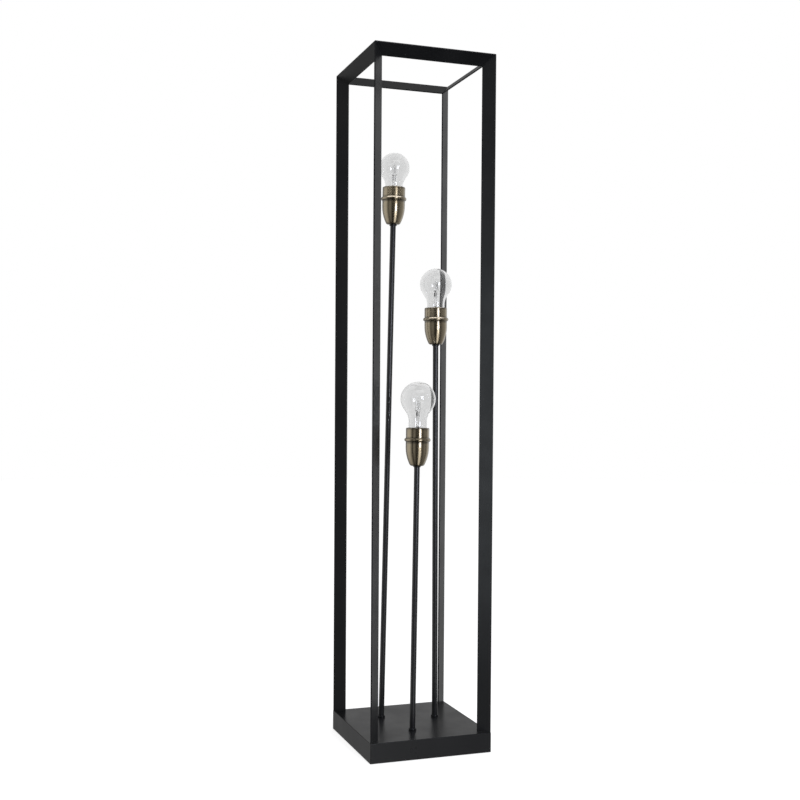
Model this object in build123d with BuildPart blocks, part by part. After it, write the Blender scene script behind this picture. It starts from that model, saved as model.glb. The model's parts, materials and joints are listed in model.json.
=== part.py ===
"""Column floor lamp.

A tall open frame of flat bar stands on a weighted square base. Three thin stems of different heights
rise from the base inside the frame, and each carries a bronze lampholder with a clear bulb. Sizes are
in millimetres, +Z is up, and the origin is on the floor under the middle of the base. The front faces -Y.
"""
import os
from dataclasses import dataclass
from math import asin, cos, radians, sin, sqrt

from build123d import *

os.makedirs("parts", exist_ok=True)

# Outside of the lamp
side = 220.0
height = 1200.0
base_height = 35.0

# Flat bar of the frame, set at 45 degrees on each edge of the box
bar_width = 25.0
bar_thickness = 2.5

# Base tray, open underneath, the cover that closes it and the pads it stands on
tray_sheet = 2.0
tray_edge_radius = 1.0
tray_floor_gap = 1.0
cover_sheet = 1.5
cover_recess = 1.0
cover_side_gap = 0.5
pad_radius = 11.0
pad_inset = 32.0

# Pillars that hold the cover, and the slotted screws
pillar_radius = 4.5
pillar_inset = 12.0
cover_screw_radius = 2.0
cover_screw_length = 10.0
cover_head_radius = 3.6
head_height = 1.4
slot_width = 0.9
slot_depth = 0.7
tapped_gap = 0.05
tapped_run_out = 1.0
screw_hole_gap = 0.3

# Ballast plate on the cover
ballast_side = 150.0
ballast_thickness = 10.0
ballast_screw_inset = 20.0
ballast_screw_radius = 2.5
ballast_screw_length = 8.0
ballast_head_radius = 4.5

# Cord bush in the rear wall, and its nut
bush_level = 18.0
bush_bore_radius = 3.75
bush_neck_radius = 6.0
bush_neck_length = 12.0
bush_flange_radius = 8.5
bush_flange_thickness = 2.5
bush_gap = 0.1
bush_nut_width = 17.0
bush_nut_thickness = 4.0

# Corners of every nut
nut_sides = 6

# Junction block on the ballast, its screw and the wires that leave it
block_radius = 18.0
block_height = 9.0
block_screw_radius = 2.0
block_screw_length = 16.0
block_head_radius = 3.6
port_depth = 6.0
port_gap = 0.3
cord_port_radius = 3.5
wire_radius = 1.75
wire_rise = 4.0
wire_bend_radius = 8.0

# Stems on a circle round the middle, and what fastens them
stem_circle = 56.0
stem_radius = 5.0
stem_wall = 1.0
stem_tail = 10.0
stem_insert = 9.0
stem_hole_gap = 0.5
stem_nut_gap = 0.2
collar_radius = 6.75
collar_height = 3.5
collar_chamfer = 0.6
lock_nut_width = 15.0
lock_nut_thickness = 5.0
neck_nut_radius = 6.5
neck_nut_height = 2.0
inner_nut_width = 14.0
inner_nut_thickness = 5.0

# Each stem: angle on the circle, length above the base, lean from plumb and the way it leans
tall_angle = 135.0
tall_length = 887.0
tall_lean = 1.13
tall_heading = -45.0
middle_angle = 15.0
middle_length = 674.0
middle_lean = 0.26
middle_heading = 180.0
short_angle = 255.0
short_length = 460.0
short_lean = 0.65
short_heading = 0.0

# Lampholder: bullet-shaped cup below, sleeve with a bead ring above
holder_height = 66.0
cup_radius = 20.25
cup_wall = 1.0
cup_height = 42.0
cup_band = 9.0
cup_flank_radius = 68.0
cup_heel_radius = 5.0
bead_radius = 22.75
bead_height = 6.5
sleeve_wall = 1.0
spigot_wall = 0.8
spigot_length = 6.0
spigot_gap = 0.15

# Inside of a lampholder: porcelain core, screw shell and centre contact
core_disc_level = 23.0
core_disc_thickness = 8.0
core_gap = 0.5
boss_wall = 4.0
boss_gap = 0.5
skirt_radius = 17.0
skirt_wall = 2.0
skirt_depth = 8.0
shell_wall = 0.5
shell_gap = 0.4
shell_flange_width = 6.0
shell_flange_thickness = 0.8
contact_radius = 6.0
contact_plate = 1.0
contact_post_radius = 3.0
contact_post_height = 2.8
contact_gap = 0.2

# Screw cap of a bulb, with its contact button and insulator
button_radius = 4.5
button_height = 2.0
button_edge_radius = 1.2
insulator_height = 5.0
insulator_cone = 3.0
insulator_tip_radius = 5.0
insulator_gap = 0.3
cap_start = 2.5
cap_height = 20.5
cap_inner_radius = 11.7
thread_root_radius = 12.1
thread_crest_radius = 13.2
thread_pitch = 3.629
thread_turns = 4
thread_start = 0.6

# Glass of a bulb: diameter of its ball and height of its crown above the holder
tall_bulb_diameter = 53.5
tall_crown = 61.0
middle_bulb_diameter = 57.0
middle_crown = 70.5
short_bulb_diameter = 60.5
short_crown = 80.0
glass_wall = 0.9
glass_gap = 0.4
glass_neck_radius = 15.7
glass_waist_radius = 30.0
glass_insert = 6.0
glass_step_start = 0.5
glass_step_height = 5.0

# Glass mount in a bulb, its two wires and the burner that they carry, at its own rise above the holder
# and turned about the stem as its bulb came to rest
mount_gap = 0.3
mount_flare_thickness = 1.2
mount_flare_height = 4.0
mount_stem_radius = 3.5
mount_rise = 3.0
lead_radius = 0.5
lead_spacing = 5.0
lead_seal = 2.0
tall_burner_rise = 11.5
tall_burner_turn = 20.0
middle_burner_rise = 19.5
middle_burner_turn = 30.0
short_burner_rise = 18.5
short_burner_turn = 30.0
burner_radius = 5.0
burner_length = 12.0
pinch_width = 8.0
pinch_depth = 3.0
pinch_height = 11.0

# Levels above the floor, worked out from the sizes
half = side / 2
tray_ceiling = base_height - tray_sheet
cover_bottom = tray_floor_gap + cover_recess
cover_top = cover_bottom + cover_sheet
ballast_top = cover_top + ballast_thickness
block_middle = ballast_top + block_height / 2
block_top = ballast_top + block_height
wire_level = ballast_top + wire_rise

# Levels above the underside of a cup, worked out from the sizes
cup_shoulder = cup_height - cup_band
disc_top = core_disc_level + core_disc_thickness
contact_top = disc_top + contact_plate + contact_post_height
button_level = contact_top + contact_gap
insulator_level = button_level + button_height
cap_level = insulator_level + cap_start
cap_top = cap_level + cap_height
shell_bore_radius = thread_crest_radius + shell_gap
shell_radius = shell_bore_radius + shell_wall
skirt_top = holder_height - skirt_depth
glass_root_radius = cap_inner_radius - glass_gap
mount_level = cap_top - glass_insert + mount_flare_thickness
mount_top = holder_height + mount_rise


@dataclass
class Light:
    """One stem with its lampholder and bulb. The foot's plane has Z along the stem."""

    name: str
    foot: Plane
    length: float
    bulb_radius: float
    crown: float
    burner_rise: float
    burner_turn: float

    @property
    def holder(self):
        """Plane at the underside of the cup."""
        return self.foot.offset(self.length)

    @property
    def pinch(self):
        """The holder's plane with its X along the flat of the burner's pinch."""
        return self.holder.rotated((0, 0, self.burner_turn))

    @property
    def burner_level(self):
        """Lower end of the burner above the underside of the cup."""
        return holder_height + self.burner_rise


def stem_foot(angle, lean, heading):
    """Plane where a stem leaves the base, tilted by its lean."""
    along = Vector(
        sin(radians(lean)) * cos(radians(heading)),
        sin(radians(lean)) * sin(radians(heading)),
        cos(radians(lean)),
    )
    spot = Vector(stem_circle * cos(radians(angle)), stem_circle * sin(radians(angle)), base_height)
    return Plane(origin=spot, x_dir=(along.Z, 0, -along.X), z_dir=along)


lights = [
    Light(
        "tall", stem_foot(tall_angle, tall_lean, tall_heading),
        tall_length, tall_bulb_diameter / 2, tall_crown, tall_burner_rise, tall_burner_turn,
    ),
    Light(
        "middle", stem_foot(middle_angle, middle_lean, middle_heading),
        middle_length, middle_bulb_diameter / 2, middle_crown, middle_burner_rise, middle_burner_turn,
    ),
    Light(
        "short", stem_foot(short_angle, short_lean, short_heading),
        short_length, short_bulb_diameter / 2, short_crown, short_burner_rise, short_burner_turn,
    ),
]


def save(piece, name):
    """Label a finished piece and write it."""
    piece.part.label = name
    export_step(piece.part, f"parts/{name}.step")


def turning_plane(plane):
    """Plane for the half outline of a turned piece: X outwards, Y along the given plane's Z."""
    return Plane(origin=plane.origin, x_dir=plane.x_dir, z_dir=-plane.y_dir)


def turning_axis(plane):
    return Axis(plane.origin, plane.z_dir)


def corners(spacing):
    """Four places on a square."""
    reach = spacing / 2
    return [(x, y) for x in (-reach, reach) for y in (-reach, reach)]


# Outside of the rear wall, with the cord bush in its middle
rear_wall = Plane(origin=(0, half, bush_level), z_dir=(0, 1, 0))

# Spacings of the base's screws and pads
pillar_spacing = side - 2 * (tray_sheet + pillar_inset)
pad_spacing = side - 2 * pad_inset
ballast_screw_spacing = ballast_side - 2 * ballast_screw_inset


# Base tray
with BuildPart() as base_tray:
    with BuildSketch(Plane.XY.offset(tray_floor_gap)):
        Rectangle(side, side)
    extrude(amount=base_height - tray_floor_gap)
    fillet(base_tray.edges().filter_by(Axis.Z), radius=tray_edge_radius)
    fillet(base_tray.faces().sort_by(Axis.Z)[-1].edges(), radius=tray_edge_radius)
    with BuildSketch(Plane.XY.offset(tray_floor_gap)):
        Rectangle(side - 2 * tray_sheet, side - 2 * tray_sheet)
    extrude(amount=tray_ceiling - tray_floor_gap, mode=Mode.SUBTRACT)
    with Locations(*[light.foot.origin for light in lights]):
        Hole(radius=stem_radius + stem_hole_gap)
    with BuildSketch(rear_wall):
        Circle(bush_neck_radius + bush_gap)
    extrude(amount=-tray_sheet, mode=Mode.SUBTRACT)
save(base_tray, "base_tray")

# Base cover, set up inside the tray
with BuildPart() as base_cover:
    with BuildSketch(Plane.XY.offset(cover_bottom)):
        cover_side = side - 2 * (tray_sheet + cover_side_gap)
        Rectangle(cover_side, cover_side)
        with Locations(*corners(pillar_spacing)):
            Circle(cover_screw_radius + screw_hole_gap, mode=Mode.SUBTRACT)
        with Locations(*corners(ballast_screw_spacing)):
            Circle(ballast_screw_radius + screw_hole_gap, mode=Mode.SUBTRACT)
    extrude(amount=cover_sheet)
save(base_cover, "base_cover")

# Pillars between the tray's ceiling and the cover, tapped from below
with BuildPart() as cover_pillars:
    with BuildSketch(Plane.XY.offset(cover_top)):
        with Locations(*corners(pillar_spacing)):
            Circle(pillar_radius)
    extrude(amount=tray_ceiling - cover_top)
    with BuildSketch(Plane.XY.offset(cover_top)):
        with Locations(*corners(pillar_spacing)):
            Circle(cover_screw_radius + tapped_gap)
    extrude(amount=cover_screw_length - cover_sheet + tapped_run_out, mode=Mode.SUBTRACT)
save(cover_pillars, "cover_pillars")

# Ballast plate, tapped for its own screws and for the junction block's
with BuildPart() as ballast:
    with BuildSketch(Plane.XY.offset(cover_top)):
        Rectangle(ballast_side, ballast_side)
    extrude(amount=ballast_thickness)
    with BuildSketch(Plane.XY.offset(cover_top)):
        with Locations(*corners(ballast_screw_spacing)):
            Circle(ballast_screw_radius + tapped_gap)
    extrude(amount=ballast_screw_length - cover_sheet + tapped_run_out, mode=Mode.SUBTRACT)
    with BuildSketch(Plane.XY.offset(ballast_top)):
        Circle(block_screw_radius + tapped_gap)
    extrude(amount=-(block_screw_length - block_height + tapped_run_out), mode=Mode.SUBTRACT)
save(ballast, "ballast")


def slotted_screws(name, seat, places, radius, length, head_radius):
    """Screws whose heads stand out of the seat against its Z, and whose threads run along it."""
    with BuildPart() as screws:
        with BuildSketch(seat.offset(-head_height)):
            with Locations(*places):
                Circle(head_radius)
        extrude(amount=head_height)
        with BuildSketch(seat):
            with Locations(*places):
                Circle(radius)
        extrude(amount=length)
        with BuildSketch(seat.offset(-head_height)):
            with Locations(*places):
                Rectangle(2 * head_radius, slot_width)
        extrude(amount=slot_depth, mode=Mode.SUBTRACT)
    save(screws, name)


cover_seat = Plane.XY.offset(cover_bottom)
block_seat = Plane(origin=(0, 0, block_top), z_dir=(0, 0, -1))
slotted_screws(
    "cover_screws", cover_seat, corners(pillar_spacing),
    cover_screw_radius, cover_screw_length, cover_head_radius,
)
slotted_screws(
    "ballast_screws", cover_seat, corners(ballast_screw_spacing),
    ballast_screw_radius, ballast_screw_length, ballast_head_radius,
)
slotted_screws(
    "block_screw", block_seat, [(0, 0)],
    block_screw_radius, block_screw_length, block_head_radius,
)

# Pads under the cover, which the lamp stands on
with BuildPart() as foot_pads:
    with BuildSketch():
        with Locations(*corners(pad_spacing)):
            Circle(pad_radius)
    extrude(amount=cover_bottom)
save(foot_pads, "foot_pads")

# Cord bush through the rear wall: flange outside, threaded neck inside
with BuildPart() as cord_bush:
    with BuildSketch(rear_wall):
        Circle(bush_flange_radius)
    extrude(amount=bush_flange_thickness)
    fillet(cord_bush.edges().sort_by(Axis.Y)[-1], radius=bush_flange_thickness / 2)
    with BuildSketch(rear_wall):
        Circle(bush_neck_radius)
    extrude(amount=-bush_neck_length)
    with BuildSketch(rear_wall.offset(bush_flange_thickness)):
        Circle(bush_bore_radius)
    extrude(amount=-(bush_flange_thickness + bush_neck_length), mode=Mode.SUBTRACT)
save(cord_bush, "cord_bush")

with BuildPart() as cord_bush_nut:
    with BuildSketch(rear_wall.offset(-tray_sheet)):
        RegularPolygon(bush_nut_width / 2, nut_sides, major_radius=False)
        Circle(bush_neck_radius + bush_gap, mode=Mode.SUBTRACT)
    extrude(amount=-bush_nut_thickness)
save(cord_bush_nut, "cord_bush_nut")


def wire_corner(light):
    """Point under a stem, on its axis, where its wire turns up."""
    along = light.foot.z_dir
    return light.foot.origin - along * ((base_height - wire_level) / along.Z)


def wire_port(light):
    """Plane at the inner end of a wire's port in the block, with Z outwards."""
    turn = wire_corner(light)
    outward = Vector(turn.X, turn.Y, 0).normalized()
    return Plane(origin=outward * (block_radius - port_depth) + Vector(0, 0, wire_level), z_dir=outward)


# Junction block, with a port for each stem's wire and one at the rear for the cord
with BuildPart() as junction_block:
    with BuildSketch(Plane.XY.offset(ballast_top)):
        Circle(block_radius)
        Circle(block_screw_radius + screw_hole_gap, mode=Mode.SUBTRACT)
    extrude(amount=block_height)
    for light in lights:
        with BuildSketch(wire_port(light)):
            Circle(wire_radius + port_gap)
        extrude(amount=block_radius, mode=Mode.SUBTRACT)
    with BuildSketch(Plane(origin=(0, block_radius - port_depth, block_middle), z_dir=(0, 1, 0))):
        Circle(cord_port_radius)
    extrude(amount=block_radius, mode=Mode.SUBTRACT)
save(junction_block, "junction_block")

# Wires, each from its port, under the stem's foot and up the stem to the porcelain core
with BuildPart() as stem_wires:
    for light in lights:
        port = wire_port(light)
        core_seat = light.holder.offset(core_disc_level).origin
        with BuildLine() as route:
            FilletPolyline(port.origin, wire_corner(light), core_seat, radius=wire_bend_radius)
        with BuildSketch(port) as section:
            Circle(wire_radius)
        sweep(sections=section.sketch, path=route.line)
save(stem_wires, "stem_wires")


def corner_post(name, right, back):
    """Upright flat bar on the diagonal of a corner, with a three-way mitre at its top."""
    corner = Vector(right * half, back * half, height)
    stand = Plane(origin=(corner.X, corner.Y, base_height), x_dir=(-right, -back, 0), z_dir=(0, 0, 1))
    with BuildPart() as post:
        with BuildSketch(stand):
            with Locations((bar_thickness / 2, 0)):
                Rectangle(bar_width, bar_thickness, align=(Align.MIN, Align.CENTER))
        extrude(amount=height - base_height)
        split(bisect_by=Plane(origin=corner, z_dir=(right, 0, -1)), keep=Keep.TOP)
        split(bisect_by=Plane(origin=corner, z_dir=(0, back, -1)), keep=Keep.TOP)
    save(post, name)


def top_bar(name, out_x, out_y):
    """Level flat bar on the sloping bisector of a top edge, mitred at both ends."""
    outward = Vector(out_x, out_y, 0)
    run = Vector(-out_y, out_x, 0)
    up = Vector(0, 0, 1)
    start = (outward - run) * half + up * height
    end = (outward + run) * half + up * height
    with BuildPart() as bar:
        with BuildSketch(Plane(origin=start, x_dir=-outward - up, z_dir=run)):
            with Locations((bar_thickness / 2, 0)):
                Rectangle(bar_width, bar_thickness, align=(Align.MIN, Align.CENTER))
        extrude(amount=side)
        for corner, inward in ((start, run), (end, -run)):
            split(bisect_by=Plane(origin=corner, z_dir=inward + outward), keep=Keep.TOP)
            split(bisect_by=Plane(origin=corner, z_dir=inward + up), keep=Keep.TOP)
    save(bar, name)


corner_post("post_front_left", -1, -1)
corner_post("post_front_right", 1, -1)
corner_post("post_rear_left", -1, 1)
corner_post("post_rear_right", 1, 1)
top_bar("top_bar_front", 0, -1)
top_bar("top_bar_right", 1, 0)
top_bar("top_bar_rear", 0, 1)
top_bar("top_bar_left", -1, 0)

# Collars on the base and lock nuts under it, which clamp the stems' feet
feet = [(light.foot.origin.X, light.foot.origin.Y) for light in lights]
with BuildPart() as foot_collars:
    with BuildSketch(Plane.XY.offset(base_height)):
        with Locations(*feet):
            Circle(collar_radius)
    extrude(amount=collar_height)
    chamfer(foot_collars.edges().group_by(Axis.Z)[-1], length=collar_chamfer)
    with BuildSketch(Plane.XY.offset(base_height)):
        with Locations(*feet):
            Circle(stem_radius + stem_nut_gap)
    extrude(amount=collar_height, mode=Mode.SUBTRACT)
save(foot_collars, "foot_collars")

with BuildPart() as lock_nuts:
    with BuildSketch(Plane.XY.offset(tray_ceiling)):
        with Locations(*feet):
            RegularPolygon(lock_nut_width / 2, nut_sides, major_radius=False)
            Circle(stem_radius + stem_nut_gap, mode=Mode.SUBTRACT)
    extrude(amount=-lock_nut_thickness)
save(lock_nuts, "lock_nuts")

# Nuts on the stems' upper ends, one under and one inside each cup
with BuildPart() as neck_nuts:
    for light in lights:
        with BuildSketch(light.holder.offset(-neck_nut_height)):
            Circle(neck_nut_radius)
            Circle(stem_radius + stem_nut_gap, mode=Mode.SUBTRACT)
        extrude(amount=neck_nut_height)
save(neck_nuts, "neck_nuts")

with BuildPart() as inner_nuts:
    for light in lights:
        with BuildSketch(light.holder.offset(cup_wall)):
            RegularPolygon(inner_nut_width / 2, nut_sides, major_radius=False)
            Circle(stem_radius + stem_nut_gap, mode=Mode.SUBTRACT)
        extrude(amount=inner_nut_thickness)
save(inner_nuts, "inner_nuts")


def stem(light):
    """Tube from under the tray to inside the cup."""
    with BuildPart() as tube:
        with BuildSketch(light.foot.offset(-stem_tail)):
            Circle(stem_radius)
            Circle(stem_radius - stem_wall, mode=Mode.SUBTRACT)
        extrude(amount=stem_tail + light.length + stem_insert)
    save(tube, f"stem_{light.name}")


def cup_curve(wall):
    """Flank and heel of the bullet, from the shoulder down to the floor, on the face inside a wall."""
    reach = cup_flank_radius - cup_heel_radius
    flank_turn = asin((cup_shoulder - cup_heel_radius) / reach)
    heel_out = cup_radius - cup_flank_radius + reach * cos(flank_turn)
    heel = cup_heel_radius - wall
    knee = (heel_out + heel * cos(flank_turn), cup_heel_radius - heel * sin(flank_turn))
    flank = TangentArc((cup_radius - wall, cup_shoulder), knee, tangent=(0, -1))
    return flank, TangentArc(knee, (heel_out, wall), tangent=flank % 1)


def holder_cup(light):
    """Bullet-shaped shell with a hole in its floor for the stem."""
    bore = stem_radius + stem_nut_gap
    with BuildPart() as cup:
        with BuildSketch(turning_plane(light.holder)):
            with BuildLine():
                outside = cup_curve(0)
                inside = cup_curve(cup_wall)
                Polyline(
                    outside[0] @ 0,
                    (cup_radius, cup_height),
                    (cup_radius - cup_wall, cup_height),
                    inside[0] @ 0,
                )
                Polyline(outside[1] @ 1, (bore, 0), (bore, cup_wall), inside[1] @ 1)
            make_face()
        revolve(axis=turning_axis(light.holder))
    save(cup, f"cup_{light.name}")


def holder_sleeve(light):
    """Straight sleeve with a bead ring that sits on the cup, and a spigot inside the cup."""
    spigot_radius = cup_radius - cup_wall - spigot_gap
    spigot_bore = spigot_radius - spigot_wall
    bead_top = cup_height + bead_height
    bead_middle = cup_height + bead_height / 2
    with BuildPart() as sleeve:
        with BuildSketch(turning_plane(light.holder)):
            with BuildLine():
                bead = ThreePointArc(
                    (cup_radius, cup_height), (bead_radius, bead_middle), (cup_radius, bead_top)
                )
                Polyline(
                    bead @ 1,
                    (cup_radius, holder_height),
                    (cup_radius - sleeve_wall, holder_height),
                    (cup_radius - sleeve_wall, bead_middle),
                    (spigot_bore, bead_middle),
                    (spigot_bore, cup_height - spigot_length),
                    (spigot_radius, cup_height - spigot_length),
                    (spigot_radius, cup_height),
                    bead @ 0,
                )
            make_face()
        revolve(axis=turning_axis(light.holder))
    save(sleeve, f"sleeve_{light.name}")


def holder_core(light):
    """Porcelain body: a boss that stands on the inner nut, a disc, and a skirt round the shell."""
    bore = stem_radius + boss_gap
    flank = cup_flank_radius - cup_wall
    inside_radius = cup_radius - cup_flank_radius + sqrt(flank**2 - (cup_shoulder - core_disc_level) ** 2)
    disc_radius = inside_radius - core_gap
    with BuildPart() as core:
        with BuildSketch(turning_plane(light.holder)):
            with BuildLine():
                Polyline(
                    (0, core_disc_level),
                    (bore, core_disc_level),
                    (bore, cup_wall + inner_nut_thickness),
                    (bore + boss_wall, cup_wall + inner_nut_thickness),
                    (bore + boss_wall, core_disc_level),
                    (disc_radius, core_disc_level),
                    (disc_radius, disc_top),
                    (skirt_radius, disc_top),
                    (skirt_radius, skirt_top),
                    (skirt_radius - skirt_wall, skirt_top),
                    (skirt_radius - skirt_wall, disc_top),
                    (0, disc_top),
                    close=True,
                )
            make_face()
        revolve(axis=turning_axis(light.holder))
    save(core, f"core_{light.name}")


def screw_shell(light):
    """Metal shell that takes the bulb's cap, with a flange on the porcelain."""
    flange_top = disc_top + shell_flange_thickness
    flange_bore = shell_radius - shell_flange_width
    with BuildPart() as shell:
        with BuildSketch(turning_plane(light.holder)):
            with BuildLine():
                Polyline(
                    (flange_bore, disc_top),
                    (shell_radius, disc_top),
                    (shell_radius, skirt_top),
                    (shell_bore_radius, skirt_top),
                    (shell_bore_radius, flange_top),
                    (flange_bore, flange_top),
                    close=True,
                )
            make_face()
        revolve(axis=turning_axis(light.holder))
    save(shell, f"screw_shell_{light.name}")


def holder_contact(light):
    """Centre contact on the porcelain, under the bulb's button."""
    with BuildPart() as contact:
        with BuildSketch(light.holder.offset(disc_top)):
            Circle(contact_radius)
        extrude(amount=contact_plate)
        with BuildSketch(light.holder.offset(disc_top + contact_plate)):
            Circle(contact_post_radius)
        extrude(amount=contact_post_height)
    save(contact, f"holder_contact_{light.name}")


def bulb_button(light):
    """Solder button at the bottom of the bulb, with a rounded lower edge."""
    low = button_level
    high = button_level + button_height
    with BuildPart() as button:
        with BuildSketch(turning_plane(light.holder)):
            with BuildLine():
                rim = RadiusArc(
                    (button_radius - button_edge_radius, low),
                    (button_radius, low + button_edge_radius),
                    -button_edge_radius,
                )
                Polyline(rim @ 1, (button_radius, high), (0, high), (0, low), rim @ 0)
            make_face()
        revolve(axis=turning_axis(light.holder))
    save(button, f"bulb_button_{light.name}")


def bulb_insulator(light):
    """Black glass plug between the button and the screw cap."""
    plug_radius = cap_inner_radius - insulator_gap
    with BuildPart() as insulator:
        with BuildSketch(turning_plane(light.holder)):
            with BuildLine():
                Polyline(
                    (0, insulator_level),
                    (insulator_tip_radius, insulator_level),
                    (plug_radius, insulator_level + insulator_cone),
                    (plug_radius, insulator_level + insulator_height),
                    (0, insulator_level + insulator_height),
                    close=True,
                )
            make_face()
        revolve(axis=turning_axis(light.holder))
    save(insulator, f"bulb_insulator_{light.name}")


def bulb_cap(light):
    """Screw cap: a thin shell with rounded thread crests and a plain band above them."""
    first = cap_level + thread_start
    last = first + thread_turns * thread_pitch
    with BuildPart() as cap:
        with BuildSketch(turning_plane(light.holder)):
            with BuildLine():
                for turn in range(thread_turns):
                    low = first + turn * thread_pitch
                    ThreePointArc(
                        (thread_root_radius, low),
                        (thread_crest_radius, low + thread_pitch / 2),
                        (thread_root_radius, low + thread_pitch),
                    )
                Polyline(
                    (thread_root_radius, last),
                    (thread_crest_radius, last + thread_crest_radius - thread_root_radius),
                    (thread_crest_radius, cap_top),
                    (cap_inner_radius, cap_top),
                    (cap_inner_radius, cap_level),
                    (thread_root_radius, cap_level),
                    (thread_root_radius, first),
                )
            make_face()
        revolve(axis=turning_axis(light.holder))
    save(cap, f"bulb_cap_{light.name}")


def glass_outline(light, inset):
    """Half outline of the bulb, a wall's thickness inside the glass where an inset is given."""
    ball = light.bulb_radius - inset
    neck = glass_neck_radius - inset
    root = glass_root_radius - inset
    waist = glass_waist_radius + inset
    centre = holder_height + light.crown - light.bulb_radius
    drop = sqrt((ball + waist) ** 2 - (neck + waist) ** 2)
    share = ball / (ball + waist)
    low = cap_top - glass_insert
    step = cap_top + glass_step_start
    flank = Polyline(
        (0, centre + ball),
        (0, low),
        (root, low),
        (root, step),
        (neck, step + glass_step_height),
        (neck, centre - drop),
    )
    bend = TangentArc(flank @ 1, (share * (neck + waist), centre - share * drop), tangent=(0, 1))
    TangentArc(bend @ 1, flank @ 0, tangent=bend % 1)


def bulb_glass(light):
    """Blown envelope: a ball that draws in to a neck, and a root inside the cap."""
    with BuildPart() as glass:
        with BuildSketch(turning_plane(light.holder)):
            with BuildLine():
                glass_outline(light, 0)
            make_face()
            with BuildLine():
                glass_outline(light, glass_wall)
            make_face(mode=Mode.SUBTRACT)
        revolve(axis=turning_axis(light.holder))
    save(glass, f"bulb_glass_{light.name}")


def bulb_mount(light):
    """Flared glass stem inside the neck, with the two wires that carry the burner."""
    flare_radius = glass_root_radius - glass_wall - mount_gap
    low = mount_level - mount_flare_thickness
    with BuildPart() as mount:
        with BuildSketch(turning_plane(light.holder)):
            with BuildLine():
                Polyline(
                    (0, low),
                    (flare_radius, low),
                    (flare_radius, mount_level),
                    (mount_stem_radius, mount_level + mount_flare_height),
                    (mount_stem_radius, mount_top),
                    (0, mount_top),
                    close=True,
                )
            make_face()
        revolve(axis=turning_axis(light.holder))
        lead_level = mount_top - lead_seal
        with BuildSketch(light.pinch.offset(lead_level)):
            with Locations((-lead_spacing / 2, 0), (lead_spacing / 2, 0)):
                Circle(lead_radius)
        extrude(amount=light.burner_level - lead_level)
    save(mount, f"bulb_mount_{light.name}")


def bulb_burner(light):
    """Small quartz capsule: a flat pinch below, a round body and a domed top."""
    body = light.holder.offset(light.burner_level + pinch_height)
    with BuildPart() as burner:
        with BuildSketch(light.pinch.offset(light.burner_level)):
            Rectangle(pinch_width, pinch_depth)
        extrude(amount=pinch_height)
        with BuildSketch(turning_plane(body)):
            with BuildLine():
                dome = RadiusArc(
                    (burner_radius, burner_length),
                    (0, burner_length + burner_radius),
                    -burner_radius,
                )
                Polyline(dome @ 1, (0, 0), (burner_radius, 0), dome @ 0)
            make_face()
        revolve(axis=turning_axis(body))
    save(burner, f"bulb_burner_{light.name}")


for light in lights:
    stem(light)
    holder_cup(light)
    holder_sleeve(light)
    holder_core(light)
    screw_shell(light)
    holder_contact(light)
    bulb_button(light)
    bulb_insulator(light)
    bulb_cap(light)
    bulb_glass(light)
    bulb_mount(light)
    bulb_burner(light)
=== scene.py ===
"""Looks of a column floor lamp, written as a lesson in cells. All sizes are in metres."""

# %% [markdown]
# # A column floor lamp
# The lamp is an open box of flat steel bar on a weighted base. Three thin stems stand inside it, each
# with a bronze lampholder and a clear bulb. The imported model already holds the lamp's parts at their
# real size and place, so this lesson dresses them: it keeps the nodes whose shape is right, replaces
# those whose edges, threads or glass need a finer mesh, and adds the fine metal inside the bulbs.
# Nothing is moved or resized.

import json
from math import acos, asin, atan2, cos, pi, radians, sin, sqrt

import bmesh
import bpy
from mathutils import Matrix, Vector


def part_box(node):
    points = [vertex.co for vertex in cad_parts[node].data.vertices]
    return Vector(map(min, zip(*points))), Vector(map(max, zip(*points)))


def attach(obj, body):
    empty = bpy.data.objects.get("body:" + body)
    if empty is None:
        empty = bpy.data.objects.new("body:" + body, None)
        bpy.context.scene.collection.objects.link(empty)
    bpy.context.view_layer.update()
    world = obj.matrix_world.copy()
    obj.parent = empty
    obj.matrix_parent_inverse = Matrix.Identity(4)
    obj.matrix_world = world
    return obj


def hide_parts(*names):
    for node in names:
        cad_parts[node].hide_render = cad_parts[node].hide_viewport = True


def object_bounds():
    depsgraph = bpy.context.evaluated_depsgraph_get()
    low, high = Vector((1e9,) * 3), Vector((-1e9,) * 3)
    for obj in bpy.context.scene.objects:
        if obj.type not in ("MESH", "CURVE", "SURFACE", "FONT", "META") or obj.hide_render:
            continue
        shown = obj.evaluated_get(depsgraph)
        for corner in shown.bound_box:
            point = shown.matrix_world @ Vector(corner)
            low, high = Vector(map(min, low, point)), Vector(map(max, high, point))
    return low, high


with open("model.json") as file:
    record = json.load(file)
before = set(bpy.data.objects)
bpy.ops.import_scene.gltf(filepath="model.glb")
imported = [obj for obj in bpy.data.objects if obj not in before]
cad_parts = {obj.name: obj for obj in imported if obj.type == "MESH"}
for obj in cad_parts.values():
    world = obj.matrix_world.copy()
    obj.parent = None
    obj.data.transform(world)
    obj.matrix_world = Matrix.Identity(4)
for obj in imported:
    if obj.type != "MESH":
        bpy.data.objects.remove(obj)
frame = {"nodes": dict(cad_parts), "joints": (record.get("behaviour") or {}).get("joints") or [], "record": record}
cad_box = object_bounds()
nodes = frame["nodes"]
scene = bpy.context.scene
mm = 0.001
full_turn = 2 * pi

# %% [markdown]
# ## Where each light stands
# The stems lean a little, as they do on the real lamp, so a lampholder isn't upright in the lamp's own
# axes. Each bulb turns on a hinge whose axis is its stem's, and whose place is the underside of its cup.
# A matrix from that hinge lets every turned piece be drawn upright at first and put in place once.

# %% Seats of the three lights
light_names = ("tall", "middle", "short")
hinges = {joint["name"]: joint for joint in frame["joints"]}


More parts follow.
